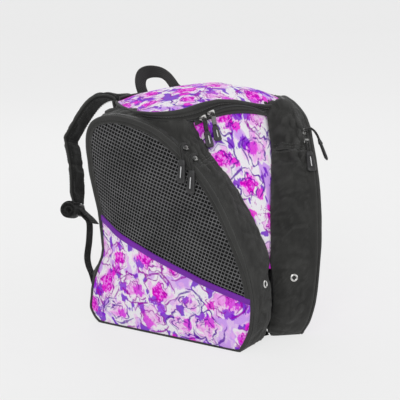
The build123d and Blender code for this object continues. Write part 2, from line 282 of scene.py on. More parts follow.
BLACK = fabric("black_cloth", (0.019, 0.019, 0.0180), (0.036, 0.036, 0.034), pitch=0.0013,
               sheen=0.10, mottle=0.6, highlight_colour=(0.08, 0.08, 0.078))
PAD = fabric("pad_cloth", (0.0105, 0.0105, 0.0098), (0.020, 0.020, 0.019), pitch=0.0013,
             sheen=0.07, mottle=0.6, highlight_colour=(0.05, 0.05, 0.048))
ROLL = fabric("rolled_binding", (0.022, 0.022, 0.021), (0.036, 0.036, 0.034), pitch=0.0016,
              sheen=0.12, mottle=0.4, uv=False, twill=True, highlight_colour=(0.09, 0.09, 0.088))
PRINT = fabric("floral_cloth", pitch=0.0011, sheen=0.02, mottle=0.06, relief=0.3,
               printed="print", rough=0.85, spec=0.12)
NET = fabric("net_thread", (0.115, 0.115, 0.118), (0.20, 0.20, 0.205), pitch=0.0008,
             sheen=0.10, mottle=0.5, uv=False, rough=0.5, spec=0.5)
# near-black cloth that stands in for shade: behind the net and in the eyelet holes
PAINTED_SHADE = fabric("painted_shade_cloth", (0.004, 0.004, 0.0042), (0.007, 0.007, 0.007), pitch=0.0009,
                sheen=0.02, mottle=0.4, uv=False)
INSIDE = fabric("inner_lining", (0.020, 0.020, 0.021), (0.032, 0.032, 0.034), pitch=0.0010,
                sheen=0.08, mottle=0.4, uv=False, rough=0.7)
ACCENT = fabric("purple_piping_cloth", (0.150, 0.006, 0.34), (0.20, 0.010, 0.42), pitch=0.0010,
                sheen=0.03, mottle=0.15, uv=False, rough=0.55, twill=True, spec=0.4)
WEB = fabric("webbing_cloth", (0.018, 0.018, 0.0175), (0.030, 0.030, 0.029), pitch=0.0022,
             sheen=0.10, mottle=0.45, twill=True, relief=0.9, rough=0.7,
             highlight_colour=(0.06, 0.06, 0.058))
THREAD = fabric("stitch_thread", (0.060, 0.060, 0.058), (0.105, 0.105, 0.103), pitch=0.0006,
                sheen=0.1, mottle=0.3, uv=False, twill=True, rough=0.6)
ZIP = plastic("zip_coil_nylon", (0.030, 0.030, 0.032), rough=0.35, relief=0.2)
NICKEL = plastic("nickel_plate", (0.62, 0.61, 0.60), rough=0.25, metal=1.0, relief=0.08,
                 highlight_colour=(0.8, 0.8, 0.78))
DARK_NICKEL = plastic("dark_nickel_plate", (0.22, 0.22, 0.22), rough=0.30, metal=1.0,
                      relief=0.08, highlight_colour=(0.75, 0.75, 0.73))
RUBBER = plastic("moulded_pull", (0.018, 0.018, 0.019), rough=0.42, relief=0.2,
                 highlight_colour=(0.06, 0.06, 0.06))
INLAY = plastic("pull_inlay", (0.62, 0.62, 0.63), rough=0.35, relief=0.1)
GREY_TAB = fabric("grey_tab", (0.16, 0.16, 0.16), (0.22, 0.22, 0.22), pitch=0.0010,
                  mottle=0.3, uv=False)
BUCKLE = plastic("acetal_buckle", (0.016, 0.016, 0.016), rough=0.38, relief=0.25,
                 highlight_colour=(0.07, 0.07, 0.07))
BOARD = plastic("stiffener_sheet", (0.05, 0.05, 0.052), rough=0.55, relief=0.3)


# ---------------------------------------------------------------- mesh helpers
def make(name, V, F, material, uv=None, colour=None):
    """Smooth mesh object from millimetre vertices."""
    mesh = bpy.data.meshes.new(name)
    V = np.asarray(V, float) * MM
    mesh.from_pydata([tuple(v) for v in V], [], [tuple(int(i) for i in f) for f in F])
    if uv is not None:
        layer = mesh.uv_layers.new(name="UVMap")
        corner = np.zeros(len(mesh.loops), np.int64)
        mesh.loops.foreach_get("vertex_index", corner)
        values = np.asarray(uv, float)[corner] * MM
        layer.data.foreach_set("uv", values.astype(np.float32).ravel())
    if colour is not None:
        layer = mesh.color_attributes.new("print", "FLOAT_COLOR", "POINT")
        rgba = np.ones((len(V), 4), np.float32)
        rgba[:, :3] = colour
        layer.data.foreach_set("color", rgba.ravel())
    mesh.validate()
    mesh.update()
    o = bpy.data.objects.new(name, mesh)
    scene.collection.objects.link(o)
    mesh.materials.append(material)
    mesh.polygons.foreach_set("use_smooth", [True] * len(mesh.polygons))
    return o


def grid(P, flip=False, close_u=False, close_v=False):
    """Vertices and quads of a grid of points."""
    nu, nv = P.shape[:2]
    index = np.arange(nu * nv).reshape(nu, nv)
    iu = np.arange(nu if close_u else nu - 1)
    iv = np.arange(nv if close_v else nv - 1)
    ju, jv = (iu + 1) % nu, (iv + 1) % nv
    corners = [index[np.ix_(a, b)] for a, b in ((iu, iv), (ju, iv), (ju, jv), (iu, jv))]
    F = np.stack(corners, -1).reshape(-1, 4)
    return P.reshape(-1, 3), F[:, ::-1] if flip else F


def tube_faces(F, rows, around):
    """Adds the two end caps to a tube's quads."""
    last = (rows - 1) * around
    return [list(f) for f in F] + [list(range(around)), list(range(last, last + around))[::-1]]


def uv_grid(u, v):
    return np.stack(np.meshgrid(u, v, indexing="ij"), -1).reshape(-1, 2)


def thicken(o, thick, offset):
    modifier = o.modifiers.new("thick", "SOLIDIFY")
    modifier.thickness = thick * MM
    modifier.offset = offset


def face_outward(o):
    bm = bmesh.new()
    bm.from_mesh(o.data)
    bmesh.ops.recalc_face_normals(bm, faces=bm.faces)
    bm.to_mesh(o.data)
    bm.free()


def sheet(name, P, material, thick, flip=False, uv=None, colour=None, offset=-1.0):
    """Cloth sheet from a grid of points, given real thickness."""
    V, F = grid(P, flip)
    if uv is None:
        uv = uv_grid(run_length(P[:, P.shape[1] // 2]), run_length(P[P.shape[0] // 2]))
    o = make(name, V, F, material, uv, colour)
    thicken(o, thick, offset)
    return o


def frames(path, hint, closed=False):
    """Side and normal along a path; side stays as close to hint as it can."""
    path = np.asarray(path, float)
    if closed:
        T = unit(np.roll(path, -1, 0) - np.roll(path, 1, 0))
    else:
        T = unit(np.gradient(path, axis=0))
    hint = np.broadcast_to(np.asarray(hint, float), path.shape)
    across = unit(hint - (hint * T).sum(1)[:, None] * T)
    return across, np.cross(T, across)


def sweep(name, path, hint, section, material, closed=False, scale=None):
    """Sweeps a closed section (side, normal), or one section per point, along a path."""
    path = np.asarray(path, float)
    across, normal = frames(path, hint, closed)
    section = np.asarray(section, float)
    if section.ndim == 2:
        section = np.broadcast_to(section, (len(path),) + section.shape)
    if scale is not None:
        section = section * np.asarray(scale, float)[:, None, None]
    P = path[:, None] + section[..., 0:1] * across[:, None] + section[..., 1:2] * normal[:, None]
    V, F = grid(P, close_u=closed, close_v=True)
    if not closed:
        F = tube_faces(F, len(path), section.shape[1])
    o = make(name, V, F, material, uv_grid(run_length(path), run_length(section[0])))
    face_outward(o)
    return o


def circle(r, n, height=None):
    """Circle, or an ellipse when a half height is given."""
    a = np.linspace(0, 2 * PI, n, endpoint=False)
    return np.stack([np.cos(a) * r, np.sin(a) * (height or r)], 1)


def superellipse(n, side_power, normal_power):
    a = np.linspace(0, 2 * PI, n, endpoint=False)
    c, s = np.cos(a), np.sin(a)
    return np.stack([np.sign(c) * np.abs(c) ** side_power,
                     np.sign(s) * np.abs(s) ** normal_power], 1)


def rounded_rect(w, t, r, n):
    out = []
    for x, y, start in ((1, 1, 0), (-1, 1, 90), (-1, -1, 180), (1, -1, 270)):
        for k in range(n + 1):
            a = math.radians(start + 90 * k / n)
            out.append((x * (w / 2 - r) + r * math.cos(a), y * (t / 2 - r) + r * math.sin(a)))
    return np.array(out)


def webbing(w, t, ribs):
    """Flat strap section with soft ribs on both faces."""
    top, bottom = [], []
    n = ribs * 4
    for k in range(n + 1):
        x = -w / 2 + w * k / n
        edge = max(1 - (abs(x) / (w / 2)) ** 8, 0.25)
        h = (t / 2) * (0.72 + 0.28 * abs(math.sin(PI * ribs * (k / n)))) * edge
        top.append((x, h))
        bottom.append((x, -h))
    return np.array(bottom + top[::-1])


def coil(name, path, hint, half_width, half_height, bead):
    """Zipper coil: a thin tube beaded from point to point."""
    return sweep(name, path, hint, circle(half_width, 8, half_height), ZIP,
                 scale=1 + bead * np.cos(np.arange(len(path)) * PI))


STITCH, STITCH_GAP = 3.0, 1.5
STITCH_RISE = np.array([-0.5, 0.7, 1.0, 0.7, -0.5])       # height at five stations, in radii
STITCH_GIRTH = np.array([0.45, 0.9, 1.0, 0.9, 0.45])      # radius at the same stations


def stitches(name, path, normal, material=THREAD, r=0.35, lift=0.1):
    """Line of short rounded threads sitting on the cloth."""
    path = np.asarray(path, float)
    length = run_length(path)
    normal = np.broadcast_to(np.asarray(normal, float), path.shape)
    rise, girth = STITCH_RISE * r + lift, STITCH_GIRTH * r
    V, F = [], []
    start = STITCH_GAP
    while start + STITCH < length[-1]:
        t = np.linspace(start, start + STITCH, 5)
        centre = np.stack([np.interp(t, length, path[:, k]) for k in range(3)], 1)
        out = unit(np.stack([np.interp(t, length, normal[:, k]) for k in range(3)], 1))
        across = np.cross(unit(centre[-1] - centre[0]), out[2])
        base = len(V)
        for k in range(5):
            for a in range(6):
                angle = a * PI / 3
                V.append(centre[k] + out[k] * (rise[k] + girth[k] * math.sin(angle))
                         + across * girth[k] * math.cos(angle))
        for k in range(base, base + 24, 6):
            for a in range(6):
                b = (a + 1) % 6
                F.append([k + a, k + b, k + 6 + b, k + 6 + a])
        F.append([base + a for a in range(6)][::-1])
        F.append([base + 24 + a for a in range(6)])
        start += STITCH + STITCH_GAP
    return make(name, V, F, material)


def join(name, objects):
    """Applies modifiers and joins meshes into the first one."""
    bpy.ops.object.select_all(action="DESELECT")
    for o in objects:
        o.select_set(True)
    for o in objects:
        if o.modifiers:
            bpy.context.view_layer.objects.active = o
            for modifier in list(o.modifiers):
                bpy.ops.object.modifier_apply(modifier=modifier.name)
    bpy.context.view_layer.objects.active = objects[0]
    bpy.ops.object.join()
    o = bpy.context.view_layer.objects.active
    o.name = name
    o.data.name = name
    o.select_set(False)
    return o


def simulate(V, F, pin, *, pressure, grow, cap, stiff, bend):
    """Settles cloth held where pin is true; no vertex moves more than cap."""
    V = np.asarray(V, float)
    mesh = bpy.data.meshes.new("sim")
    mesh.from_pydata((V * MM).tolist(), [], [list(map(int, f)) for f in F])
    o = bpy.data.objects.new("sim", mesh)
    scene.collection.objects.link(o)
    group = o.vertex_groups.new(name="pin")
    group.add(np.where(pin)[0].tolist(), 1.0, "REPLACE")
    cloth = o.modifiers.new("cloth", "CLOTH")
    c = cloth.settings
    c.quality = 6
    c.mass = 0.15
    c.air_damping = 4.0
    c.tension_stiffness = c.compression_stiffness = stiff
    c.shear_stiffness = stiff * 0.5
    c.bending_stiffness = bend
    c.vertex_group_mass = "pin"
    c.use_pressure = True
    c.uniform_pressure_force = pressure
    c.shrink_min = c.shrink_max = -grow
    c.effector_weights.gravity = 0.0
    cloth.collision_settings.use_collision = False
    cloth.collision_settings.use_self_collision = False
    last = 20
    cloth.point_cache.frame_start, cloth.point_cache.frame_end = 1, last
    for k in range(1, last + 1):
        scene.frame_set(k)
    settled = o.evaluated_get(bpy.context.evaluated_depsgraph_get()).data
    out = np.zeros(len(V) * 3)
    settled.vertices.foreach_get("co", out)
    out = out.reshape(-1, 3) / MM
    scene.frame_set(1)
    bpy.data.objects.remove(o)
    bpy.data.meshes.remove(mesh)
    move = out - V
    move[~np.isfinite(move)] = 0
    distance = np.linalg.norm(move, axis=1, keepdims=True)
    return V + move * np.minimum(1, cap / np.maximum(distance, 1e-6))


def simulate_grid(P, pin, flip=False, **settings):
    V, F = grid(P, flip)
    return simulate(V, F, pin.reshape(-1), **settings).reshape(P.shape)


def put(o, body, slot, *nodes):
    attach(o, body)
    if nodes:
        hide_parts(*nodes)


def put_between(o, bodies, start, end, slot, *nodes):
    """Bakes the piece's placement into its mesh and hides the parts it replaces; the bodies and the
    two points are not used.
    """
    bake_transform(o)
    if nodes:
        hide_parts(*nodes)


# ---------------------------------------------------------------- pocket geometry
# A pocket point is s (forward along the outer face), z (up) and depth (in from that face).
SPLAY = math.radians(24.71)
FORWARD = np.array([math.sin(SPLAY), -math.cos(SPLAY), 0.0])
INWARD = np.array([math.cos(SPLAY), math.sin(SPLAY), 0.0])
ORIGIN = np.array([-194.0, 150.0, 0.0])
# outline of the outer face in four runs: (s, z)
FLOOR = catmull([(4, 16), (14, 4.5), (32, 0), (120, 0), (205, 0), (285, 0), (297, 6)], 6)
FRONT = catmull([(297, 6), (306, 22), (314, 45), (316, 88), (306, 133), (286, 181), (263, 226),
                 (240, 260), (217, 284)], 6)
TOP = catmull([(217, 284), (192, 306), (171, 322), (142, 338), (106, 349), (76, 353),
               (59, 353), (41, 350), (26, 344), (14, 334), (5, 318), (2, 300)], 6)
BACK = catmull([(2, 300), (0, 240), (-1, 150), (-2, 42), (4, 16)], 6)
OUTLINE = np.concatenate([FLOOR[:-1], FRONT[:-1], TOP[:-1], BACK[:-1]])
RIM = resample(np.vstack([OUTLINE, OUTLINE[:1]]), 4.0)[:-1]
RIM_OUT = right_normals(np.vstack([RIM[-1:], RIM, RIM[:1]]))[1:-1]
FLAP_HINGE = np.array([2.0, 300.0]), np.array([183.0, 314.5])     # (s, z) of its two ends
# forward shift of the soft back edge: z, shift
PINCH = ([0, 24, 42, 58, 76, 97, 116, 131, 160, 195, 220, 259, 294, 316, 340],
         [-1.0, 0, 4.7, 7.3, 11.7, 21.0, 30.0, 33.0, 31, 27.9, 21, 11.6, 6.5, 4.5, 0])
# outward lean of the right pocket: z, shift
LEAN = ([0, 7, 24, 58, 108, 147, 178, 227, 261, 300, 312, 330, 349, 360],
        [-21, -19, -12.5, -5, 1.5, 7, 10, 13.5, 14.5, 16, 17, 16, 13, 9])
# purple piping line: (s, z)
ACCENT_LINE = catmull([
    (-10, 190), (0, 187), (14.6, 181.1), (36.8, 174.0), (55.6, 165.5), (72.6, 159.3),
    (88, 154.3), (102.6, 149.7), (116.2, 145.5), (139.7, 136.7), (162.7, 128.9),
    (185.4, 121.6), (207.9, 115.2), (230.1, 108.4), (251.6, 102.7), (272, 97),
    (291.3, 91.1), (309.8, 85.3), (316, 83.4)], 4)
UPPER = np.array(sorted([tuple(p) for p in np.concatenate([FRONT[18:], TOP])]
                        + [(-2.0, 42.0), (-1.0, 150.0), (0.0, 240.0)]))
LOWER = np.array(sorted(tuple(p) for p in np.concatenate([BACK[-7:], FLOOR, FRONT[:19]])))
EYELET = (312.75, 103, 37.3)        # s, z, depth


def accent_z(s):
    return np.interp(s, ACCENT_LINE[:, 0], ACCENT_LINE[:, 1])


def z_top(s):
    return np.interp(s, UPPER[:, 0], UPPER[:, 1])


def z_bottom(s):
    return np.interp(s, LOWER[:, 0], LOWER[:, 1])


def edge_distance(s, z):
    """Distance to the outer face's outline."""
    s, z = np.asarray(s, float), np.asarray(z, float)
    p = np.stack([s.ravel(), z.ravel()], 1)
    best = np.full(len(p), 1e9)
    for a, b in zip(OUTLINE, np.roll(OUTLINE, -1, 0)):
        ab = b - a
        t = np.clip(((p - a) @ ab) / (ab @ ab), 0, 1)
        q = p - a - t[:, None] * ab
        best = np.minimum(best, (q * q).sum(1))
    return np.sqrt(best).reshape(s.shape)


def bulge(s, z):
    """How far the filled outer face stands out."""
    t = np.clip(edge_distance(s, z) / 80, 0, 1)
    wave = 1.6 * ripple(np.asarray(s) / 60.0, np.asarray(z) / 60.0, 5, 2)
    return 13.0 * (1 - (1 - t) ** 2) + wave * np.clip(t * 3, 0, 1)


class Side:
    """One side of the bag: sx is 1 on the left, -1 on the right."""

    def __init__(self, name, sx):
        self.name, self.sx, self.right = name, sx, sx < 0
        self.mirror = np.array([sx, 1, 1])
        self.forward = FORWARD * self.mirror
        self.inward = INWARD * self.mirror

    def at(self, s, z, depth):
        """Bag point for a pocket point, with the soft shape of the filled pocket."""
        s, z, depth = np.broadcast_arrays(*(np.asarray(v, float) for v in (s, z, depth)))
        rear = np.clip(1 - s / 120, 0, 1) ** 1.4
        along = s + np.interp(z, *PINCH) * rear * (1 - ease(0, 58, depth))
        if self.right:
            depth = depth - (np.interp(z, *LEAN) * ease(40, 165, s)
                             * (1 - ease(20, 64, depth) * 0.95))
        point = ORIGIN + along[..., None] * FORWARD + depth[..., None] * INWARD
        point = point + np.stack([0 * z, 0 * z, z], -1)
        point[..., 0] *= self.sx
        return point

    def face(self, s, z, lift):
        """Point lifted off the bulging outer face."""
        return self.at(s, z, -bulge(s, z) - lift)


LEFT, RIGHT = Side("left", 1), Side("right", -1)


def column_grid(low, high, s0, s1, ns, nz):
    """Grid of (s, z) between two heights given as functions of s."""
    s = np.linspace(s0, s1, ns)
    S, t = np.meshgrid(s, np.linspace(0, 1, nz), indexing="ij")
    return S, low(s)[:, None] * (1 - t) + high(s)[:, None] * t


# ---------------------------------------------------------------- floral print
def srgb(colour):
    c = np.asarray(colour, float) / 255
    return np.where(c <= 0.04045, c / 12.92, ((c + 0.055) / 1.055) ** 2.4)


def brush(under, mask, rgb):
    """Paints a colour over another through a mask."""
    mask = np.clip(mask, 0, 1)[..., None]
    return under * (1 - mask) + srgb(rgb) * mask


# washes beside a blossom's heart: distance from its centre, size (in radii)
WASHES = ((0.50, 0.42), (0.85, 0.36), (1.0, 0.30))
WARM_WASHES = ((206, 70, 214), (132, 42, 200), (226, 62, 206))
COOL_WASHES = ((132, 42, 200), (214, 84, 220), (150, 60, 214))
CONTOURS = (0.30, 0.46, 0.66, 0.84, 1.0)      # radii of the brushed contours


def blossom(c, dx, dy, R, chance, ragged, mottle, seed):
    """Paints one blossom; dx and dy run from its centre, chance holds twelve random numbers."""
    r, angle = np.hypot(dx, dy), np.arctan2(dy, dx)
    turn = [a * 6.28 for a in chance]
    petal = (1 + 0.17 * np.cos(5 * angle + turn[0]) + 0.07 * np.cos(11 * angle + turn[1])
             + 0.05 * np.cos(13 * angle + turn[2]))
    # pale petals with pink clouds
    c = brush(c, ease(R * 1.02, R * 0.97, r / petal) * 0.92, (244, 240, 247))
    cloud = ease(0.45, 0.60, fbm(dx / 9 + 31 * chance[3], dy / 9, seed + 31, 2))
    c = brush(c, ease(R * 1.02, R * 0.7, r / petal) * cloud * 0.8, (240, 178, 240))
    for k, (away, size) in enumerate(WASHES):
        a = turn[3 + k] + 2.1 * k
        q = np.hypot(dx - math.cos(a) * R * away, dy - math.sin(a) * R * away) / (R * size)
        strength = 0.9 if chance[8 + k] > 0.25 else 0.0
        c = brush(c, ease(0.12, -0.02, q - 1 + (ragged - 0.5) * 1.5) * strength,
                  (WARM_WASHES if chance[6] > 0.4 else COOL_WASHES)[k])
    # mottled heart: hot pink with deeper and paler folds
    heart_r = R * (0.50 + 0.10 * chance[9]) * (1 + 0.16 * np.cos(4 * angle + turn[4]))
    heart = ease(0.10, -0.04, r / heart_r - 1 + (ragged - 0.5) * 0.7)
    full = 1.0 if chance[10] > 0.30 else 0.25
    c = brush(c, heart * 0.95 * full, (232, 62, 212))
    c = brush(c, heart * ease(0.55, 0.61, mottle) * 0.8 * full, (186, 28, 170))
    c = brush(c, heart * ease(0.44, 0.38, mottle) * 0.8 * full, (250, 160, 236))
    # brushed contours following the petals
    line = np.zeros(r.shape)
    for k, ring in enumerate(CONTOURS):
        shape = (1 + (petal - 1) * (0.4 + 0.6 * ring)
                 + 0.05 * np.cos(3 * angle + chance[k] * 9))
        gate = np.cos(angle * (1 if k % 2 else 2) + turn[k + 5]) + (0.05 if k == 4 else -0.10)
        width = ((0.20 + 1.30 * np.clip(gate, 0, 1) ** 0.9) * (1.0 if k in (2, 4) else 0.65))
        ink = ease(width + 0.5, width - 0.1, np.abs(r - R * ring * shape))
        line = np.maximum(line, ink * ease(0.02, 0.2, gate) * (1.0 if k in (1, 2, 4) else 0.6))
    # a curved petal vein
    along = dx * math.cos(turn[0]) + dy * math.sin(turn[0])
    off = (-dx * math.sin(turn[0]) + dy * math.cos(turn[0])
           - 0.022 * along * along * (1 if chance[2] > 0.5 else -1))
    line = np.maximum(line, ease(1.3, 0.5, np.abs(off) * (0.6 + along / R))
                      * ease(R * 0.5, R * 0.6, along) * ease(R * 1.02, R * 0.9, along))
    # two sweeping strokes outside
    for k in range(2):
        a = turn[5 + k]
        ox, oy = dx + math.cos(a) * R * 0.5, dy + math.sin(a) * R * 0.5
        gate = np.cos(np.arctan2(oy, ox) - a - 0.6)
        width = 1.5 * np.clip((gate - 0.80) / 0.20, 0, 1) ** 0.7
        off = np.abs(np.hypot(ox, oy) - R * (1.50 + 0.12 * k))
        line = np.maximum(line, ease(width + 0.4, width - 0.1, off) * (gate > 0.81) * 0.9)
    ink = (86, 0, 150) if chance[11] > 0.4 else (150, 0, 160)
    return brush(c, line * (0.72 + 0.26 * (mottle > 0.45)), ink)


def floral(u, v, seed):
    """Watercolour blossoms on a white and lilac wash, in cloth coordinates (mm)."""
    column_pitch, row_pitch, margin = 60.0, 60.0 * 0.84, 25
    rng = np.random.RandomState(seed)
    x = u + (ripple(u / 15, v / 15, seed + 1, 2) * 8 + ripple(u / 5, v / 5, seed + 5, 2))
    y = v + (ripple(u / 15, v / 15, seed + 2, 2) * 8 + ripple(u / 5, v / 5, seed + 6, 2))
    ragged = fbm(u / 2.6, v / 7.5, seed + 9, 3)
    mottle = fbm(u / 3.0, v / 3.0, seed + 10, 3)
    c = np.ones(u.shape + (3,)) * srgb((240, 238, 244))
    lilac = fbm(x / 26, y / 40, seed + 3, 3) + 0.10 * (ragged - 0.5)
    c = brush(c, ease(0.49, 0.52, lilac) * 0.95, (222, 190, 246))
    c = brush(c, ease(0.57, 0.59, lilac) * 0.75, (200, 156, 238))
    pink = fbm(x / 20 + 40, y / 24, seed + 4, 3)
    c = brush(c, ease(0.62, 0.68, pink) * 0.55, (240, 190, 238))
    marks = fbm(x / 13 + 9, y / 19 + 3, seed + 7, 2) + 0.16 * (ragged - 0.5)
    c = brush(c, ease(0.625, 0.65, marks) * 0.9, (112, 14, 190))
    u0, u1 = u.min() - margin, u.max() + margin
    v0, v1 = v.min() - margin, v.max() + margin
    for j in range(int((v1 - v0) / row_pitch) + 2):
        for i in range(int((u1 - u0) / column_pitch) + 2):
            cx = u0 + (i + 0.5 * (j % 2)) * column_pitch + rng.uniform(-8, 8)
            cy = v0 + j * row_pitch + rng.uniform(-7, 7)
            R = rng.uniform(20, 28)
            chance = [rng.rand() for _ in range(12)]
            dx, dy = x - cx, (y - cy) * (1.0 + 0.25 * (chance[7] - 0.3))
            near = np.hypot(dx, dy) < R * 2.0
            if near.any():
                c[near] = blossom(c[near], dx[near], dy[near], R, chance, ragged[near],
                                  mottle[near], seed)
    spatter = (ease(0.72, 0.76, fbm(u / 2.8, v / 2.8, seed + 25, 2))
               * ease(0.5, 0.56, fbm(u / 22, v / 22, seed + 26, 2)))
    c = brush(c, spatter * 0.6, (176, 40, 168))
    grey = (c * np.array([0.21, 0.72, 0.07])).sum(-1, keepdims=True)
    return np.clip(grey + (c - grey) * 1.22, 0.0, 0.9).reshape(-1, 3)


def printed_sheet(name, P, u, v, seed, thick, flip=False):
    uv = np.stack([u, v], -1).reshape(-1, 2)
    return sheet(name, P, PRINT, thick, flip, uv, floral(u, v, seed))


# ---------------------------------------------------------------- pocket outer face
def put_on_flap(side, o, slot, *nodes):
    """Piece of the outer face by the flap: works out two points across the flap's hinge line and
    bakes the piece in place.
    """
    a, b = FLAP_HINGE
    normal = unit(np.array([-(b - a)[1], (b - a)[0]]))
    start, end = (side.at(*((a + b) / 2 + normal * q), 0) for q in (-0.5, 17.0))
    put_between(o, ("shell", side.name + "_flap"), start, end, slot, *nodes)


def edge_roll(side):
    """Rolled edge all round the outer face, thicker over its upper part."""
    upper = ease(120, 190, RIM[:, 1])
    c = RIM - RIM_OUT * (0.6 + 1.1 * upper)[:, None]
    wobble = 1 + 0.14 * ripple(np.arange(len(c)) / 5.0, np.zeros(len(c)), 3, 2)
    o = sweep(side.name + "_edge_roll", side.at(*c.T, -1.6), side.inward, circle(3.9, 14, 4.4),
              ROLL, closed=True, scale=(0.60 + 0.40 * upper) * wobble)
    put_on_flap(side, o, "black_piping", side.name + "_edge_piping", side.name + "_flap_piping")


def edge_binding(side):
    """Flat binding that covers the net's cut edge."""
    above = (RIM[:, 1] > accent_z(RIM[:, 0]) - 2) & (RIM[:, 1] > 80)
    first = int(np.argmax(above & ~np.roll(above, 1)))
    above = np.roll(above, -first)
    edge, out = np.roll(RIM, -first, 0)[above], np.roll(RIM_OUT, -first, 0)[above]
    section = ((2.6, 0.7), (4.2, 2.0), (6.0, 2.2), (8.2, 2.2), (10.2, 1.7), (11.0, 0.6))
    P = np.stack([side.face(*(edge - out * inset).T, lift) for inset, lift in section], 1)
    o = sheet(side.name + "_edge_binding", P, ROLL, 0.9, flip=side.right)
    put_on_flap(side, o, "black_piping")
    line = side.face(*(edge - out * 9.4).T, 2.0)
    o = stitches(side.name + "_binding_stitch", line, -side.inward)
    put_on_flap(side, o, "black_piping")


def net(side):
    """Open net: slanted cells, each a frame of four quads round a hole."""
    a = math.radians(17.5)
    row, column = np.array([math.cos(a), -math.sin(a)]), np.array([math.sin(a), math.cos(a)])
    row_pitch, column_pitch = 5.7, 5.5
    inset_row, inset_column = 0.42 / row_pitch, 0.60 / column_pitch     # half thread widths
    I, J = np.meshgrid(np.arange(-70, 90), np.arange(-10, 90), indexing="ij")
    centre = (I[..., None] + 0.5) * row_pitch * row + (J[..., None] + 0.5) * column_pitch * column
    s, z = centre[..., 0], centre[..., 1]
    keep = (z > accent_z(s) + 3) & (z < z_top(s) - 2) & (s > 2) & (s < 315)
    keep[keep] &= edge_distance(s[keep], z[keep]) > 5.5
    knots, points, lifts, F = {}, [], [], []

    def add(i, j, lift):
        points.append(i * row_pitch * row + j * column_pitch * column)
        lifts.append(lift)
        return len(points) - 1

    def knot(i, j):
        if (i, j) not in knots:
            knots[i, j] = add(i, j, 0.45)
        return knots[i, j]

    for i, j in zip(I[keep].tolist(), J[keep].tolist()):
        outer = [knot(i, j), knot(i + 1, j), knot(i + 1, j + 1), knot(i, j + 1)]
        hole = [add(i + a, j + b, -0.15)
                for a, b in ((inset_row, inset_column), (1 - inset_row, inset_column),
                             (1 - inset_row, 1 - inset_column), (inset_row, 1 - inset_column))]
        for k in range(4):
            n = (k + 1) % 4
            F.append([outer[k], outer[n], hole[n], hole[k]])
    points = np.array(points)
    s, z = points.T
    points = points + np.stack([ripple(s / 18, z / 18, 8, 2), ripple(s / 18 + 50, z / 18, 9, 2)], 1)
    if not side.right:
        F = [f[::-1] for f in F]
    o = make(side.name + "_net", side.face(*points.T, np.array(lifts)), F, NET)
    thicken(o, 0.7, 0)
    put_on_flap(side, o, "mesh_fabric", side.name + "_mesh_panel", side.name + "_mesh_flap")


def net_shade_sheet(side):
    """Near-black sheet behind the net: painted shade standing for the inside of the pocket."""
    S, Z = column_grid(lambda s: accent_z(s) - 1, lambda s: z_top(s) - 1.0, -1.0, 315.8, 90, 60)
    o = sheet(side.name + "_net_lining", side.face(S, Z, -3.2), PAINTED_SHADE, 0.8,
              flip=not side.right)
    put_on_flap(side, o, "lining")


def floral_panel(side):
    """Printed lower part of the outer face."""
    S, Z = column_grid(lambda s: z_bottom(s) + 0.5, lambda s: accent_z(s) + 1,
                       -1.6, 315.6, 290, 190)
    wrinkle = 1.2 * ripple(S / 45, Z / 38, 15, 3) * ease(3, 20, edge_distance(S, Z))
    o = printed_sheet(side.name + "_floral_panel", side.face(S, Z, wrinkle), S, Z,
                      29 if side.right else 11, 1.2, flip=not side.right)
    put(o, "shell", "print_fabric", side.name + "_print_panel")


def accent_piping(side):
    """Purple piping between net and print, with a stitch line below it."""
    s = ACCENT_LINE[:, 0]
    line = resample(ACCENT_LINE[(s > -1.5) & (s < 315)], 3.0)
    o = sweep(side.name + "_accent", side.face(*line.T, 0.9), UP,
              rounded_rect(9.6, 3.4, 1.6, 3), ACCENT)
    put(o, "shell", "purple_piping", side.name + "_accent_piping")
    below = line + np.array([0, -6.3])
    o = stitches(side.name + "_accent_stitch", side.face(*below.T, 0.1), -side.inward, ACCENT,
                 r=0.3, lift=0.25)
    put(o, "shell", "purple_piping")


# ---------------------------------------------------------------- pocket gussets
# depth of the front gusset's inner edge: z, depth
V_EDGE = ([119, 134, 158, 192, 216, 243, 272, 299, 343],
          [73.3, 70.9, 67.9, 64.8, 62.1, 58.5, 54.3, 51, 55])
# swell of the pocket's top: s, height; and s, depth where it is fully reached
SWELL = [118, 154, 173, 178, 190, 207, 229], [0, 13.0, 24, 25, 15.6, 6.5, 0]
SWELL_DEPTH = [118, 122, 154, 165, 173, 180, 207, 229], [20, 18.7, 19.3, 25, 31, 51, 51, 54]
SEAM_DEPTH = 1.5        # where a strip starts behind the outer face


def swell(s, depth):
    return np.interp(s, *SWELL) * ease(0, 1, (depth - 6) / (np.interp(s, *SWELL_DEPTH) - 6))


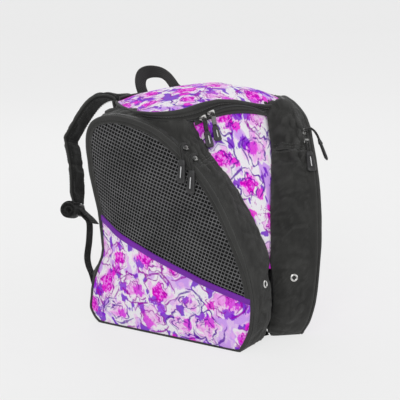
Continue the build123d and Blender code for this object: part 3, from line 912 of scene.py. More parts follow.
def strip_points(side, curve, d, seed, lift=0.0, puff=2.2, wrinkle=1.6):
    """Points over a gusset strip that follows curve (s, z); d holds the depths across it."""
    n = right_normals(curve)
    d = np.broadcast_to(np.asarray(d, float), (len(curve), np.shape(d)[-1]))
    far = d.max(1, keepdims=True)
    t = np.clip((d - SEAM_DEPTH) / (far - SEAM_DEPTH), 0, 1)
    L = run_length(curve)[:, None]
    s, z = curve[:, 0:1], curve[:, 1:2]
    broad = ripple(L / 34 + 0 * d, d / 26, 40 + seed, 3)
    small = ripple(L / 11 + 0 * d, d / 40, 60 + seed, 2)
    fold = np.abs(ripple(L / 46 + d / 60, d / 13 - L / 90, 70 + seed, 3)) * 2
    ridge = 1 - np.abs(ripple(L / 21 + d / 34, d / 22 - L / 60, 170 + seed, 2)) * 4.2
    ridge = np.clip(ridge, 0, 1) ** 2
    amount = 0.35 + 0.65 * ease(215, 285, z) + 0.35 * ease(130, 60, z)
    amount = amount * (1 + (1.5 if side.right else 0.35) * ease(235, 300, z))
    es, ez, ed = EYELET
    calm = 1 - np.exp(-((s - es) ** 2 + (z - ez) ** 2 + (d - ed) ** 2) / 300.0)
    pucker = (bell(L, L[np.argmin(np.abs(z - 284))], 16.0)
              * np.sin(d / 2.2 + 3 * fbm(d / 9, L / 30, 31 + seed, 2)) * 1.3)
    relief = (wrinkle * 2.4 * broad * amount + wrinkle * 1.0 * small
              - wrinkle * 2.2 * (0.5 - fold) * amount + wrinkle * 1.5 * ridge * amount
              + pucker * wrinkle * 0.6)
    h = (lift + puff * np.sin(PI * t) ** 0.7 + relief * np.sin(PI * t) ** 0.5 * calm
         - 1.0 * np.exp(-(far - d) / 3.0))
    if wrinkle > 0:     # low on the front, the inner half draws in
        h = h - 9.0 * ease(0.62, 1.0, t) * ease(150, 105, z) * ease(-1, 25, z) * (s > 150)
    z_out = z + n[:, 1:2] * h + swell(s, d)
    if side.right:      # this pocket's shoulder stands up beside the lid
        z_out = z_out + 15.0 * bell(s, 176, 26.0) * ease(2, 26, d)
    return side.at(s + n[:, 0:1] * h, z_out, d)


def strip_width(node, curve):
    """Depth of a strip's inner edge along its curve."""
    s, z = curve[:, 0], curve[:, 1]
    to_centre = (193.0 - 0.418 * s) / 0.908
    if node == "gusset_front":
        edge = np.minimum(np.where(z < 119, 74, np.interp(z, *V_EDGE)), to_centre)
        return (edge + 2.0 * ease(110, 200, z))[:, None]
    if node == "pocket_floor":
        return np.minimum(68.0, to_centre)[:, None]
    if node == "gusset_top":
        return np.interp(s, [172, 181, 217], [66, 55.5, 54.0])[:, None]
    return np.full((len(curve), 1), 66.0)


def crease(side, P, curve, d, seed, on_top):
    """Adds gathers at the seam between top and front, and slanting folds away from it.

    Returns the points and each row's distance from the seam."""
    normal = np.cross(np.gradient(P, axis=0), np.gradient(P, axis=1))
    normal /= np.maximum(np.linalg.norm(normal, axis=-1, keepdims=True), 1e-9)
    n = right_normals(curve)
    out = n[:, :1] * side.forward + n[:, 1:] * UP
    normal = normal * np.sign((normal * out[:, None]).sum(-1, keepdims=True))
    far = np.linalg.norm(curve - TOP[0], axis=1)[:, None]
    L = run_length(curve)[:, None] + 0 * d

    def ridge(noise):
        return np.clip(1 - np.abs(noise) * 5.0, 0, 1) ** 1.3

    if on_top:
        gather, fold = (3.0, 2.6) if side.right else (1.6, 1.2)
        fold = fold * ease(8, 24, far)
    else:
        gather, fold = 0.8, 1.2 * ease(30, 60, far) * 0.8
    height = (ridge(ripple(d / 8.0, L / 40, 301 + seed, 2)) * np.exp(-far / 30.0) * gather
              + ridge(ripple((L + d * 1.4) / 26, (L - d) / 60, 311 + seed + side.sx, 2)) * fold)
    t = (d - SEAM_DEPTH) / (d[:, -1:] - SEAM_DEPTH)
    mask = ease(0.16, 0.34, t) * ease(1.0, 0.86, t) * ease(1.0, 8.0, far)
    mask = mask * (np.linalg.norm(P - side.at(*EYELET), axis=-1) > 14)
    return P + normal * (height * mask)[..., None], far[:, 0]


def gussets(side):
    """The four cloth strips behind the outer face, and the seam between top and front."""
    seam_rows = {}
    strips = (("gusset_top", TOP), ("gusset_front", FRONT),
              ("pocket_floor", FLOOR), ("pocket_back", BACK))
    for seed, (node, outline) in enumerate(strips, 1):
        curve = resample(outline, 3.2)
        far = strip_width(node, curve)
        d = SEAM_DEPTH + (far - SEAM_DEPTH) * np.linspace(0, 1, 26)[None]
        flat = node == "pocket_floor"
        P = strip_points(side, curve, d, seed, puff=0.0 if flat else 2.2,
                         wrinkle=0.0 if flat else 1.1)
        if flat:
            P[..., 2] = np.maximum(P[..., 2], 0.0)
        if node in ("gusset_top", "gusset_front"):
            i, j = np.indices(P.shape[:2])
            held = (j <= 5) | (j >= P.shape[1] - 1) | (i <= 1) | (i >= P.shape[0] - 2)
            held |= np.linalg.norm(P - side.at(*EYELET), axis=-1) < 12
            P = simulate_grid(P, held, pressure=1.2, grow=0.035, cap=6.0, stiff=8.0, bend=0.05,
                              flip=not side.right)
            P, distance = crease(side, P, curve, d, seed, node == "gusset_top")
            seam_rows[node] = P, distance
        o = sheet(side.name + "_" + node + "_cloth", P, BLACK, 1.8, flip=side.right)
        put(o, "shell", "black_fabric", side.name + "_" + node)
    lines = []
    normal = side.forward * 0.73 + UP * 0.68
    for node, q in (("gusset_top", 3.5), ("gusset_top", 7.5), ("gusset_front", 3.0)):
        P, distance = seam_rows[node]
        near = np.argsort(distance)[:6]
        line = [[np.interp(q, distance[near], P[near, j, k]) for k in range(3)]
                for j in range(5, P.shape[1] - 1)]
        lines.append(stitches("seam_line", line, normal, r=0.6, lift=2.0))
    put(join(side.name + "_seam_stitch", lines), "shell", "black_fabric")


def pocket_zip(side):
    """Zipper over the pocket's top: tape, coil and two corded edges."""
    curve = resample(TOP[:-4], 1.3)
    n = right_normals(curve)

    def run(lift, depth):
        s, z = (curve + n * lift).T
        return side.at(s, z + swell(curve[:, 0], depth), depth)

    P = strip_points(side, curve, np.linspace(4.2, 13.2, 7)[None], 1, lift=0.9, puff=1.2,
                     wrinkle=0.0)
    parts = [sheet("pocket_zip_tape", P, WEB, 0.7, flip=side.right),
             coil("pocket_zip_coil", run(1.9, 8.4), side.inward, 1.55, 1.0, bead=0.28)]
    for depth in (4.6, 12.8):
        parts.append(sweep("pocket_zip_cord", run(1.5, depth), side.inward, circle(0.9, 6), ROLL))
    put(join(side.name + "_zip", parts), "shell", "zip_coil", side.name + "_pocket_zip")


# eyelet ring section: radius, height
EYELET_RING = [(3.1, -3.5), (3.1, 0.2), (3.4, 0.9), (4.2, 1.35), (5.2, 1.25), (6.2, 0.6),
               (6.6, -0.1), (6.5, -0.6), (4.4, -0.7), (4.1, -3.5)]


def eyelet(side):
    """Metal eyelet in the front gusset, with a near-black disc in its hole as painted shade."""
    normal = unit(side.forward * 0.976 + UP * 0.217)
    curve = resample(FRONT, 1.0)
    row = int(np.argmin(np.abs(curve[:, 1] - EYELET[1])))
    P = strip_points(side, curve, [[SEAM_DEPTH, EYELET[2], 69.5]], 2)
    centre = P[row, 1] + normal * 1.3
    across = side.inward
    up = np.cross(normal, across)
    a = np.linspace(0, 2 * PI, 36, endpoint=False)[:, None]

    def ring_at(radius, height):
        return centre + (across * np.cos(a) + up * np.sin(a)) * radius + normal * height

    P = np.stack([ring_at(r, h) for r, h in EYELET_RING], 1)
    V, F = grid(P, close_u=True, close_v=True)
    ring = make(side.name + "_eyelet", V, F, NICKEL)
    # near-black disc: painted shade inside the eyelet's hole
    V, F = grid(np.stack([ring_at(r, -0.9) for r in (0.01, 3.15)]), close_v=True)
    hole = make("eyelet_hole_shade", V, F, PAINTED_SHADE)
    thicken(hole, 0.6, -1)
    o = join(side.name + "_eyelet", [ring, hole])
    face_outward(o)
    put(o, "shell", "nickel", *([] if side.right else ["grommets"]))


def divider(side):
    """Slightly slack sheet between the pocket and the centre compartment."""
    S, Z = column_grid(lambda s: z_bottom(s) + 3, lambda s: z_top(s) - 4, 5, 300, 60, 40)
    sag = 2.4 * ripple(S / 70, Z / 60, 21, 3)
    o = sheet(side.name + "_divider_cloth", side.at(S, Z, 67.6 + sag * 0.8), INSIDE, 1.8,
              flip=not side.right)
    put(o, "shell", "lining", side.name + "_divider")


# ---------------------------------------------------------------- zipper pulls
# grip: share of its length, half width and half thickness as shares of the full ones
GRIP_WIDTH = [0, 0.05, 0.14, 0.3, 0.6, 0.85, 0.95, 1.0], [0.50, 0.66, 0.72, 0.80, 0.92, 1.0,
                                                       0.94, 0.62]
GRIP_THICK = [0, 0.05, 0.14, 0.2, 0.8, 0.95, 1.0], [0.6, 0.9, 1.0, 0.82, 0.86, 0.8, 0.45]


def zipper_pull(name, cord, across, out, length, w, t, tab=None, aim=None):
    """Doubled cord, moulded grip with a light inlay and two rings; tab is a cloth's material.

    The grip points at aim, or straight on from the cord."""
    cord = np.asarray(cord, float)
    across, out = unit(across), unit(out)
    end = cord[-1]
    down = unit((2 * end - cord[-2] if aim is None else aim) - end)
    path = resample(catmull(cord, 5), 2.0)
    parts = []
    if tab is not None:
        middle = path[int(len(path) * 0.30):int(len(path) * 0.92)] + out * 0.9
        parts.append(sweep("pull_tab", middle, across, rounded_rect(7.4, 2.2, 0.7, 2), tab))
    for k in (-1, 1):
        parts.append(sweep("pull_cord", path + across * 1.9 * k, across, circle(1.75, 8), WEB))
    station = np.linspace(0, 1, 15)
    half = np.stack([np.interp(station, *GRIP_WIDTH) * w / 2,
                     np.interp(station, *GRIP_THICK) * t / 2], 1)
    oval = superellipse(20, 2 / 3.2, 2 / 3.2)
    parts.append(sweep("pull_grip", end + down * (station[:, None] * length), across,
                       oval * half[:, None], RUBBER))
    normal = np.cross(down, across)
    normal *= np.sign(normal @ out)
    a, b = (end + down * (length * q) + normal * (t * 0.36) for q in (0.30, 0.78))
    parts.append(sweep("pull_inlay", np.linspace(a, b, 6), across,
                       rounded_rect(1.7, 1.5, 0.6, 2), INLAY))
    for q in (0.16, 0.205):
        ring = end + down * (length * q)
        parts.append(sweep("pull_ring", np.stack([ring - down * 0.5, ring + down * 0.5]),
                           across, oval * np.array([w * 0.40, t * 0.56]), RUBBER))
    return join(name, parts)


# The pocket sliders sit outside an arc in (s, z), at one depth.
ARC_CENTRE, SLIDER_RADIUS, SLIDER_DEPTH = np.array([65.0, 152.0]), 201.0 + 9.2, 8.4
SLIDERS = (("rear", 51.8), ("front", 45.6))       # degrees round the arc


def pocket_cord(side, which, base):
    """Cord points, the point the grip aims at, and the grip's across and out directions."""
    s, z = base
    start = side.at(s, z, SLIDER_DEPTH)
    out = -side.inward
    if not side.right:      # both left pulls hang down the outer face
        hang = [side.face(s + ds, z + dz, lift) for ds, dz, lift in
                ((1.6, -4.5, 6.5), (2.0, -12, 6.0), (2.2, -20, 5.6), (2.6, -58, 5.2))]
        cord = [start, side.at(s + 0.5, z + 2.6, 3.0), side.at(s + 1.0, z + 1.6, -5.5)]
        return cord + hang[:3], hang[3], side.forward, out
    if which == "front":    # lies forward along the gusset
        curve = resample(np.vstack([FRONT[6:], TOP[1:]]), 1.0)
        first = int(np.argmin(np.linalg.norm(curve - base, axis=1)))
        normals = right_normals(curve)

        def drape(back, lift, depth):
            i = max(first - back, 0)
            return side.at(*(curve[i] + normals[i] * lift), depth)

        cord = [start, drape(2, 9.5, 8.0), drape(6, 8.5, 7.4), drape(12, 7.2, 7.0),
                drape(19, 6.6, 6.8)]
        return cord, drape(56, 6.0, 6.4), side.inward, side.forward + 0.6 * UP
    # the right rear pull stands clear of the outer face: out, up
    *cord, aim = [start + out * o + UP * rise for o, rise in
                  ((0, 0), (8, 2.5), (15, -2.0), (20.5, -10.0), (23.5, -17.0), (37, -52.0))]
    return cord, aim, side.forward, out


def move_slider(side, which, base):
    """Copy of a slider, moved from the plain pocket shape to the leaning one."""
    o = NODES["right_slider_" + which]
    name = "right_slider_%s_body" % which
    plain = ORIGIN + base[0] * FORWARD + SLIDER_DEPTH * INWARD + base[1] * UP
    move = side.at(*base, SLIDER_DEPTH) - plain * side.mirror
    mesh = o.data.copy()
    mesh.name = name
    for vertex in mesh.vertices:
        vertex.co = (o.matrix_world @ vertex.co) + Vector((move * MM).tolist())
    mesh.materials.append(DARK_NICKEL)
    body = bpy.data.objects.new(name, mesh)
    scene.collection.objects.link(body)
    put(body, "right_slider_" + which, "nickel", "right_slider_" + which)


def pocket_sliders(side):
    for which, degrees in SLIDERS:
        a = math.radians(degrees)
        base = ARC_CENTRE + SLIDER_RADIUS * np.array([math.cos(a), math.sin(a)])
        slider, pull = ("%s_%s_%s" % (side.name, part, which) for part in ("slider", "pull"))
        if side.right:
            move_slider(side, which, base)
        else:
            NODES[slider].data.materials.append(DARK_NICKEL)
        cord, aim, across, out = pocket_cord(side, which, base)
        o = zipper_pull(pull + "_grip", cord, across, out, length=37.0, w=15.0, t=5.8, aim=aim)
        if side.right:      # the right pulls are baked in place, not attached to a body
            put_between(o, (slider, pull), cord[0], cord[-1], "pull_rubber", pull)
        else:
            put(o, pull, "pull_rubber", pull)


def pocket(side):
    for build in (edge_roll, edge_binding, net, net_shade_sheet, floral_panel, accent_piping,
                  gussets, pocket_zip, eyelet, divider, pocket_sliders):
        build(side)


pocket(LEFT)
pocket(RIGHT)

# ---------------------------------------------------------------- front V panel
# centre line: (y, z)
V_PROFILE = catmull([(-97, 117), (-91, 134), (-85, 158), (-73, 192), (-62, 216), (-51, 243),
                     (-35, 272), (-17, 299), (-4, 322), (6, 343), (8, 360), (8, 376)], 6)
# half width: (x, z)
V_HALF = np.array([(0.3, 117), (1.6, 122), (6, 134), (12, 158), (21, 192), (29, 216),
                   (38, 243), (50, 272), (62, 299), (68, 326), (71.5, 343), (71.5, 380)])
V_FOOT, V_SHOULDER, ARCH_HALF = 117, 343, 72.0


def front_y(z):
    return np.interp(z, V_PROFILE[:, 1], V_PROFILE[:, 0])


def arch_z(x):
    """Top of the V panel's cloth."""
    return V_SHOULDER + 11.0 * (1 - (x / ARCH_HALF) ** 2)


def coil_z(x):
    """Zipper line over the V panel."""
    x = np.clip(x, -ARCH_HALF, ARCH_HALF)
    return np.maximum(239.2 + np.sqrt(124.8 ** 2 - x ** 2), 347.6)


def v_panel():
    r = np.linspace(0, 1, 250)[:, None]
    t = np.linspace(-1, 1, 130)[None]

    def spread(z):
        return t * np.interp(z, V_HALF[:, 1], V_HALF[:, 0])

    top = arch_z(spread(V_FOOT + r * (V_SHOULDER - V_FOOT))) + 0.6
    z = V_FOOT + r * (top - V_FOOT)
    x = spread(z)
    crown = (5.0 * (1 - t ** 2) * ease(0, 0.25, r) * ease(1.0, 0.8, r)
             + 1.6 * ripple(x / 30, z / 40, 77, 3))
    y = front_y(z) + 2.5 * np.abs(t) ** 6 - crown
    o = printed_sheet("floral_v_panel", np.stack([x, y, z], -1), x, z, 5, 1.4)
    put(o, "shell", "print_fabric", "front_panel")


v_panel()

# ---------------------------------------------------------------- lid
# left half of the lid's plan, front to back: (x, y)
PLAN_LEFT = catmull([(-72, 8), (-94, 9), (-112, 20), (-126, 47), (-134, 83), (-132, 125),
                     (-120, 168), (-112, 181)], 8)
PLAN = np.vstack([PLAN_LEFT, (PLAN_LEFT * np.array([-1, 1]))[::-1]])
PLAN = resample(np.vstack([PLAN, PLAN[:1]]), 3.0)[:-1]
LID_CENTRE = np.array([0.0, 92.0])
# edge seam height: at the front by x, at the sides by y, at the back by distance from x = 0
EDGE_FRONT = ([-134, -126, -112, -93, -78, -65, -50, -25, 7, 28, 50, 67, 80, 112, 134],
              [358, 359.5, 362.5, 365.5, 368.5, 370.8, 373.2, 374.8, 371, 366, 360.5, 357.5,
               357, 358, 359])
EDGE_SIDE = [47, 83, 125, 168, 181, 184], [359.5, 358.5, 360.5, 361.5, 362.5, 363]
EDGE_BACK = [0, 60, 84, 112], [372.0, 371, 369.5, 362]


def plan_radius(angle):
    """Distance from the lid's centre to its plan outline."""
    dx, dy = (PLAN - LID_CENTRE).T
    a, r = np.arctan2(dy, dx), np.hypot(dy, dx)
    order = np.argsort(a)
    a, r = a[order], r[order]
    return np.interp(angle, np.r_[a[-1] - 2 * PI, a, a[0] + 2 * PI], np.r_[r[-1], r, r[0]])


def lid_edge_z(x, y):
    """Height of the lid's edge seam; it rides up over the front zipper."""
    k = ease(30, 60, y)
    edge = np.interp(x, *EDGE_FRONT) * (1 - k) + np.interp(y, *EDGE_SIDE) * k
    k = ease(160, 180, y) * ease(112, 104, np.abs(x))
    return edge * (1 - k) + np.interp(np.abs(x), *EDGE_BACK) * k


def lid_panel():
    """Printed lid: a square grid pushed out to the plan, domed above its edge."""
    A, B = np.meshgrid(np.linspace(-1, 1, 240), np.linspace(-1, 1, 170), indexing="ij")
    rho = np.maximum(np.abs(A), np.abs(B)) + 1e-9
    angle = np.arctan2(B * 84, A * 134)
    r = plan_radius(angle)
    cx, cy = LID_CENTRE
    edge = lid_edge_z(cx + r * np.cos(angle), cy + r * np.sin(angle))
    x, y = cx + r * rho * np.cos(angle), cy + r * rho * np.sin(angle)
    crown = (386.5 - 0.02 * np.abs(y - cy) + 0.045 * x
             - 8.0 * (x / 112.0) ** 2 * ease(30, 110, y))
    z = (edge + (crown - edge) * (1 - rho ** (2.7 + 2.3 * ease(120, 170, y)))
         + 1.5 * ripple(x / 40, y / 40, 91, 3) * ease(1.0, 0.75, rho))
    o = printed_sheet("floral_lid", np.stack([x, np.minimum(y, 182.5), z], -1), x, y, 42, 1.6)
    put(o, "lid", "print_fabric", "lid_panel")


def pocket_top_z(x, y):
    """Height of the pocket's top under a plan point."""
    v = np.stack([-np.abs(x), y], -1) - ORIGIN[:2]
    s = v @ FORWARD[:2]
    return z_top(s) + swell(s, v @ INWARD[:2]) + 2.0


def plan_normals(points):
    """Normals in plan, pointing away from the lid's centre."""
    n = right_normals(points)
    return n * np.sign((n * (points - LID_CENTRE)).sum(1))[:, None]


# The lid's zipper runs round the front and sides and stops short of the fold at the back.
LID_RUN = np.roll(PLAN, -int(np.argmax(PLAN[:, 1] >= 178)), 0)
LID_RUN = LID_RUN[LID_RUN[:, 1] < 178]
# band section: outward, share of the height
BAND = [(-0.6, 0.0), (1.6, 0.02), (2.8, 0.09), (2.9, 0.17), (1.6, 0.24), (0.9, 0.30),
        (1.0, 0.37), (2.4, 0.43), (3.2, 0.52), (2.9, 0.60), (1.7, 0.66), (1.6, 0.70),
        (2.9, 0.78), (3.4, 0.88), (2.2, 0.98), (0.2, 1.02)]


def lid_band():
    """Zipper band below the lid's edge, with its coil, edge roll and stitching."""
    x, y = LID_RUN.T
    n = plan_normals(LID_RUN)
    low = np.where((np.abs(x) < 73) & (y < 12), coil_z(x) + 1.2, 348.2)
    low = np.where(y > 12, np.maximum(348.2, pocket_top_z(x, y) + 0.8), low)
    low = np.convolve(np.r_[low[:3], low, low[-3:]], np.ones(7) / 7, "valid")
    high = lid_edge_z(x, y)
    steps = np.arange(len(x)) / 9.0
    wave = 0.8 * ripple(steps, 0 * steps, 19, 2)

    def run(out, z):
        return np.column_stack([LID_RUN + n * out, z])

    P = np.stack([run((out + wave)[:, None], low + (high - low) * t) for out, t in BAND], 1)
    parts = [sheet("band_cloth", P, BLACK, 1.4, flip=True),
             coil("band_coil", run(1.0, low - 0.9), UP, 1.25, 0.9, bead=0.25),
             sweep("band_roll", run(1.6, high + 0.2), UP, circle(2.5, 10), ROLL)]
    put(join("lid_band_zip", parts), "lid", "black_fabric", "lid_band")
    o = stitches("lid_band_stitch", run(3.3, low + (high - low) * 0.50),
                 np.column_stack([n, 0 * low]), lift=0.0)
    put(o, "lid", "black_fabric")


def rim_tapes():
    """Body's tape under the lid's edge, one piece a side."""
    body = LID_RUN[(LID_RUN[:, 1] >= 8.6) | (np.abs(LID_RUN[:, 0]) > 70)]
    section = [(-0.5, -14.0), (0.4, -4.5), (1.3, -3.0), (1.2, -1.6), (0.4, -0.3), (-0.4, 0.0)]
    for side, sign in ((LEFT, -1), (RIGHT, 1)):
        q = body[np.sign(body[:, 0]) == sign]
        q = resample(q[np.argsort(np.arctan2(q[:, 1] - 92, np.abs(q[:, 0])))], 3.0)
        n = plan_normals(q)
        x, y = q.T
        top = np.where(y > 12, np.maximum(346.0, pocket_top_z(x, y) - 0.4), 346.0)
        P = np.stack([np.column_stack([q + n * out, top + dz]) for out, dz in section], 1)
        o = sheet("rim_tape_" + side.name, P, BLACK, 1.2, flip=not side.right)
        put(o, "shell", "black_fabric", *([] if side.right else ["collar"]))


# arch tape section: y offset, share of the height
ARCH_TAPE = [(0.2, 0.0), (-2.0, 0.04), (-2.9, 0.16), (-2.4, 0.28), (-1.2, 0.36), (-1.2, 0.46),
             (-2.2, 0.54), (-2.8, 0.66), (-2.3, 0.78), (-1.0, 0.86), (-0.8, 1.0)]


def arch_zip():
    """Tape and coil over the top of the V panel."""
    x = np.linspace(-71.5, 71.5, 110)
    low, high = arch_z(x) - 2.5, coil_z(x) - 0.6
    rows = []
    for dy, t in ARCH_TAPE:
        z = low + (high - low) * t
        rows.append(np.column_stack([x, front_y(z) + dy - 0.3, z]))
    parts = [sheet("arch_tape", np.stack(rows, 1), BLACK, 1.1, flip=True),
             coil("arch_coil", np.column_stack([x, 6.2 + 0 * x, coil_z(x)]), UP, 1.5, 1.0,
                  bead=0.25)]
    put(join("lid_zip_front", parts), "shell", "zip_coil", "lid_zip")


ARCH_RISE, ARCH_CROWN = 22, 368
ARCH_RADIUS = (ARCH_HALF ** 2 + ARCH_RISE ** 2) / (2 * ARCH_RISE)
# cord from the slider: x, y, z
LID_CORD = [(0, 0, 0), (0, -2.6, -3.0), (-0.3, -3.6, -9.0), (-0.6, -5.6, -14.0),
            (-0.8, -8.0, -19.0)]


def lid_sliders():
    r = ARCH_RADIUS - 4
    for name, degrees, length, tab in (("left", 27.3, 27.0, WEB), ("right", 19.5, 25.0, GREY_TAB)):
        NODES["lid_slider_" + name].data.materials.append(NICKEL)
        a = math.radians(degrees)
        start = np.array([-r * math.sin(a), -1.2,
                          ARCH_CROWN - ARCH_RADIUS + r * math.cos(a) + 0.4])
        pull = "lid_pull_" + name
        o = zipper_pull(pull + "_grip", start + LID_CORD, ACROSS, (0, -0.888, 0.46), length,
                        w=14.0, t=5.2, tab=tab)
        put(o, pull, "pull_rubber", pull)


lid_panel()
lid_band()
rim_tapes()
arch_zip()
lid_sliders()

# ---------------------------------------------------------------- back and base
BACK_HALF = 127
QUILT_X, QUILT_Z = (-44, 44), (98, 206)       # stitched channels in the cushion


def back_y(x):
    return 200 - 12 * (x / 128.0) ** 2


def back_cushion():
    """Padded back, quilted by four stitched channels."""
    X, Z = np.meshgrid(np.linspace(-BACK_HALF, BACK_HALF, 86), np.linspace(2, 343, 110),
                       indexing="ij")
    edge = np.minimum(np.minimum(BACK_HALF - np.abs(X), Z - 2), 343 - Z)
    puff = 5.5 * np.sqrt(np.clip(1 - (1 - np.clip(edge / 26, 0, 1)) ** 2, 0, 1))
    channel = 0
    for x in QUILT_X:
        channel = np.maximum(channel, bell(X, x, 3.6) * ease(20, 34, Z) * ease(318, 302, Z))
    for z in QUILT_Z:
        channel = np.maximum(channel, bell(Z, z, 3.6) * ease(122, 108, np.abs(X)))
    puff = puff - 5.0 * channel + 1.6 * ripple(X / 40, Z / 40, 55, 3) * ease(0, 18, edge)
    # bedded flat where the folded haul loop lies
    dent = ease(-66, -54, X) * ease(40, 28, X) * ease(268, 284, Z)
    puff = puff - 6.0 * dent * ease(0, 8, edge)
    P = simulate_grid(np.stack([X, back_y(X) - 5.0 + puff, Z], -1),
                      (channel > 0.55) | (edge < 5) | (dent > 0.3),
                      pressure=3.0, grow=0.03, cap=7.0, stiff=10.0, bend=0.1)
    put(sheet("back_cushion", P, BLACK, 11.0), "shell", "black_fabric", "back_panel", "back_pad")


def back_trim():
    """Binding round the cushion and stitching along its channels."""
    w = BACK_HALF
    x, z = resample([(-w, 4), (-w, 341), (w, 341), (w, 4), (-w, 4)], 5.0)[:-1].T
    o = sweep("back_binding", np.column_stack([x, back_y(x) - 4.4, z]), (0, 1, 0),
              circle(2.6, 10), ROLL, closed=True)
    put(o, "shell", "black_piping")
    z = np.linspace(30, 306, 120)
    x = np.linspace(-112, 112, 110)
    lines = [(q + 0 * z, z) for q in QUILT_X] + [(x, q + 0 * x) for q in QUILT_Z]
    parts = [stitches("quilt_line", np.column_stack([a, back_y(a) - 4.2, b]), (0, 1, 0),
                      r=0.45, lift=0.3) for a, b in lines]
    put(join("back_stitch", parts), "shell", "black_fabric")


def back_inside():
    """Lining in front of the cushion, and the rim and binding at the lid's fold."""
    X, Z = np.meshgrid(np.linspace(-BACK_HALF, BACK_HALF, 40), np.linspace(4, 345, 50),
                       indexing="ij")
    P = np.stack([X, 183.4 + 1.6 * ripple(X / 60, Z / 60, 66, 3), Z], -1)
    put(sheet("back_lining_cloth", P, INSIDE, 1.2, flip=True), "shell", "lining", "back_lining")
    x = np.linspace(-108, 108, 60)
    droop = 3.5 * (np.abs(x) / 108) ** 4
    section = [(2.2, 336.0), (2.4, 350.0), (1.4, 362.0), (-0.2, 370.0), (-1.8, 371.6)]
    P = np.stack([np.column_stack([x, 185.6 + dy + 0.5 * ripple(x / 25, 0 * x + z / 20, 71, 2),
                                   z - droop]) for dy, z in section], 1)
    put(sheet("back_rim_cloth", P, BLACK, 1.8, flip=True), "shell", "black_fabric", "back_rim")
    o = sweep("lid_fold_binding", np.column_stack([x, 183.8 + 0 * x, 371.4 - droop]), UP,
              circle(1.9, 8), ROLL)
    put(o, "shell", "black_piping")


def base():
    """Cloth under the centre compartment, narrow at the front."""
    n = 40
    X = np.linspace(8.5, 130, n)[:, None] * np.linspace(-1, 1, n)
    Y = np.linspace(-82, 181, n)[:, None] + 0 * X
    P = np.stack([X, Y, 0.35 + 0.3 * fbm(X / 30, Y / 30, 81, 2)], -1)
    o = sheet("base_cloth", P, BLACK, 1.8, offset=1.0)
    put(o, "shell", "black_fabric", "base_panel")
    NODES["base_board"].data.materials.append(BOARD)


back_cushion()
back_trim()
back_inside()
base()

# ---------------------------------------------------------------- haul loop
LOOP_LEAN = math.radians(28)
LOOP_UP = np.array([0, math.sin(LOOP_LEAN), math.cos(LOOP_LEAN)])
LOOP_FACE = np.array([0, -math.cos(LOOP_LEAN), math.sin(LOOP_LEAN)])
LOOP_ORIGIN = np.array([0.0, 199.0, 347.0])
LOOP_FOOT = 35      # distance of each sewn end from the middle
# centre line in the loop's leaning plane: (x, up)
LOOP = [(-35, 3), (-46, 14), (-53, 29), (-51, 44), (-42, 56), (-28, 61), (-12, 61), (3, 57),
        (13, 49), (19, 39), (24, 27), (30, 14), (35, 3)]


def haul_loop():
    line = resample(catmull(LOOP, 8), 2.5)
    x, up = line.T
    line[:, 0] = np.where(up > 12, -22 + (x + 22) * (1 - 0.13 * ease(12, 30, up)), x)
    path = LOOP_ORIGIN + line[:, :1] * ACROSS + line[:, 1:] * LOOP_UP
    t = unit(np.gradient(line, axis=0))
    turn = np.linspace(0, PI, len(line))[:, None]
    across = t[:, :1] * LOOP_UP - t[:, 1:] * ACROSS + LOOP_FACE * 0.18 * np.sin(turn * 2)
    o = sweep("haul_loop_webbing", path + LOOP_FACE * 1.2 * np.sin(turn * 3), across,
              webbing(23, 2.8, 6), WEB)
    put(o, "haul_loop", "webbing", "haul_loop")


def haul_loop_ends():
    """Webbing ends on the back panel, each with a stitched box and diagonal."""
    parts = []
    for x in (-LOOP_FOOT, LOOP_FOOT):
        path = [(x, y, z) for y, z in ((200.4, 316), (201.6, 326), (201.8, 337),
                                       (200.6, 344.5), (200.2, 350))]
        parts.append(sweep("loop_end", resample(catmull(path, 5), 2.5), ACROSS,
                           webbing(21, 2.4, 6), WEB))
        box = [(x + dx, 203.1, z) for dx, z in ((-7, 322), (7, 322), (7, 336), (-7, 336),
                                                (-7, 322), (7, 336))]
        parts.append(stitches("loop_box", resample(box, 1.0), (0, 1, 0), r=0.4, lift=0.0))
    put(join("haul_loop_ends", parts), "shell", "webbing", "haul_loop_base")


haul_loop()
haul_loop_ends()

# ---------------------------------------------------------------- shoulder straps
# A strap lies in a plane: u runs down from its top, v toward the back, n off the plane.
STRAP_TOP, STRAP_FOOT = np.array([-88, 206, 340.0]), np.array([-176, 166, 30.0])
STRAP_N = unit([0.7728, 0.5634, -0.2921])
STRAP_U = unit(STRAP_FOOT - STRAP_TOP)
STRAP_V = unit(np.cross(STRAP_N, STRAP_U))


def strap_at(u, v, n=0.0):
    u, v, n = np.broadcast_arrays(*(np.asarray(q, float) for q in (u, v, n)))
    return STRAP_TOP + u[..., None] * STRAP_U + v[..., None] * STRAP_V + n[..., None] * STRAP_N


# pad centre line: root (x, y, z), then upper and lower run (u, v)
PAD_ROOT = [(-88, 199.5, 306), (-88, 200.8, 322), (-87, 203.5, 338), (-85, 208, 351),
            (-85, 215, 360.5)]
PAD_UPPER = strap_at(*np.array([(-23, 22), (-21, 34), (-18, 46), (-8, 59), (6, 69), (23, 78),
                                (39, 85.5), (58, 94)]).T)
PAD_LOWER = strap_at(*np.array([(64, 93), (82, 85), (111, 75), (132, 70), (152, 66),
                                (168, 61.5)]).T)
PAD_PATH = resample(np.vstack([catmull(np.vstack([PAD_ROOT, PAD_UPPER]), 6),
                               catmull(PAD_LOWER, 6)]), 3.0)
PAD_RUN = run_length(PAD_PATH)
PAD_END = PAD_RUN[-1]


def run_at(point):
    """Run length where the pad passes nearest a point."""
    return PAD_RUN[int(np.argmin(np.linalg.norm(PAD_PATH - point, axis=1)))]


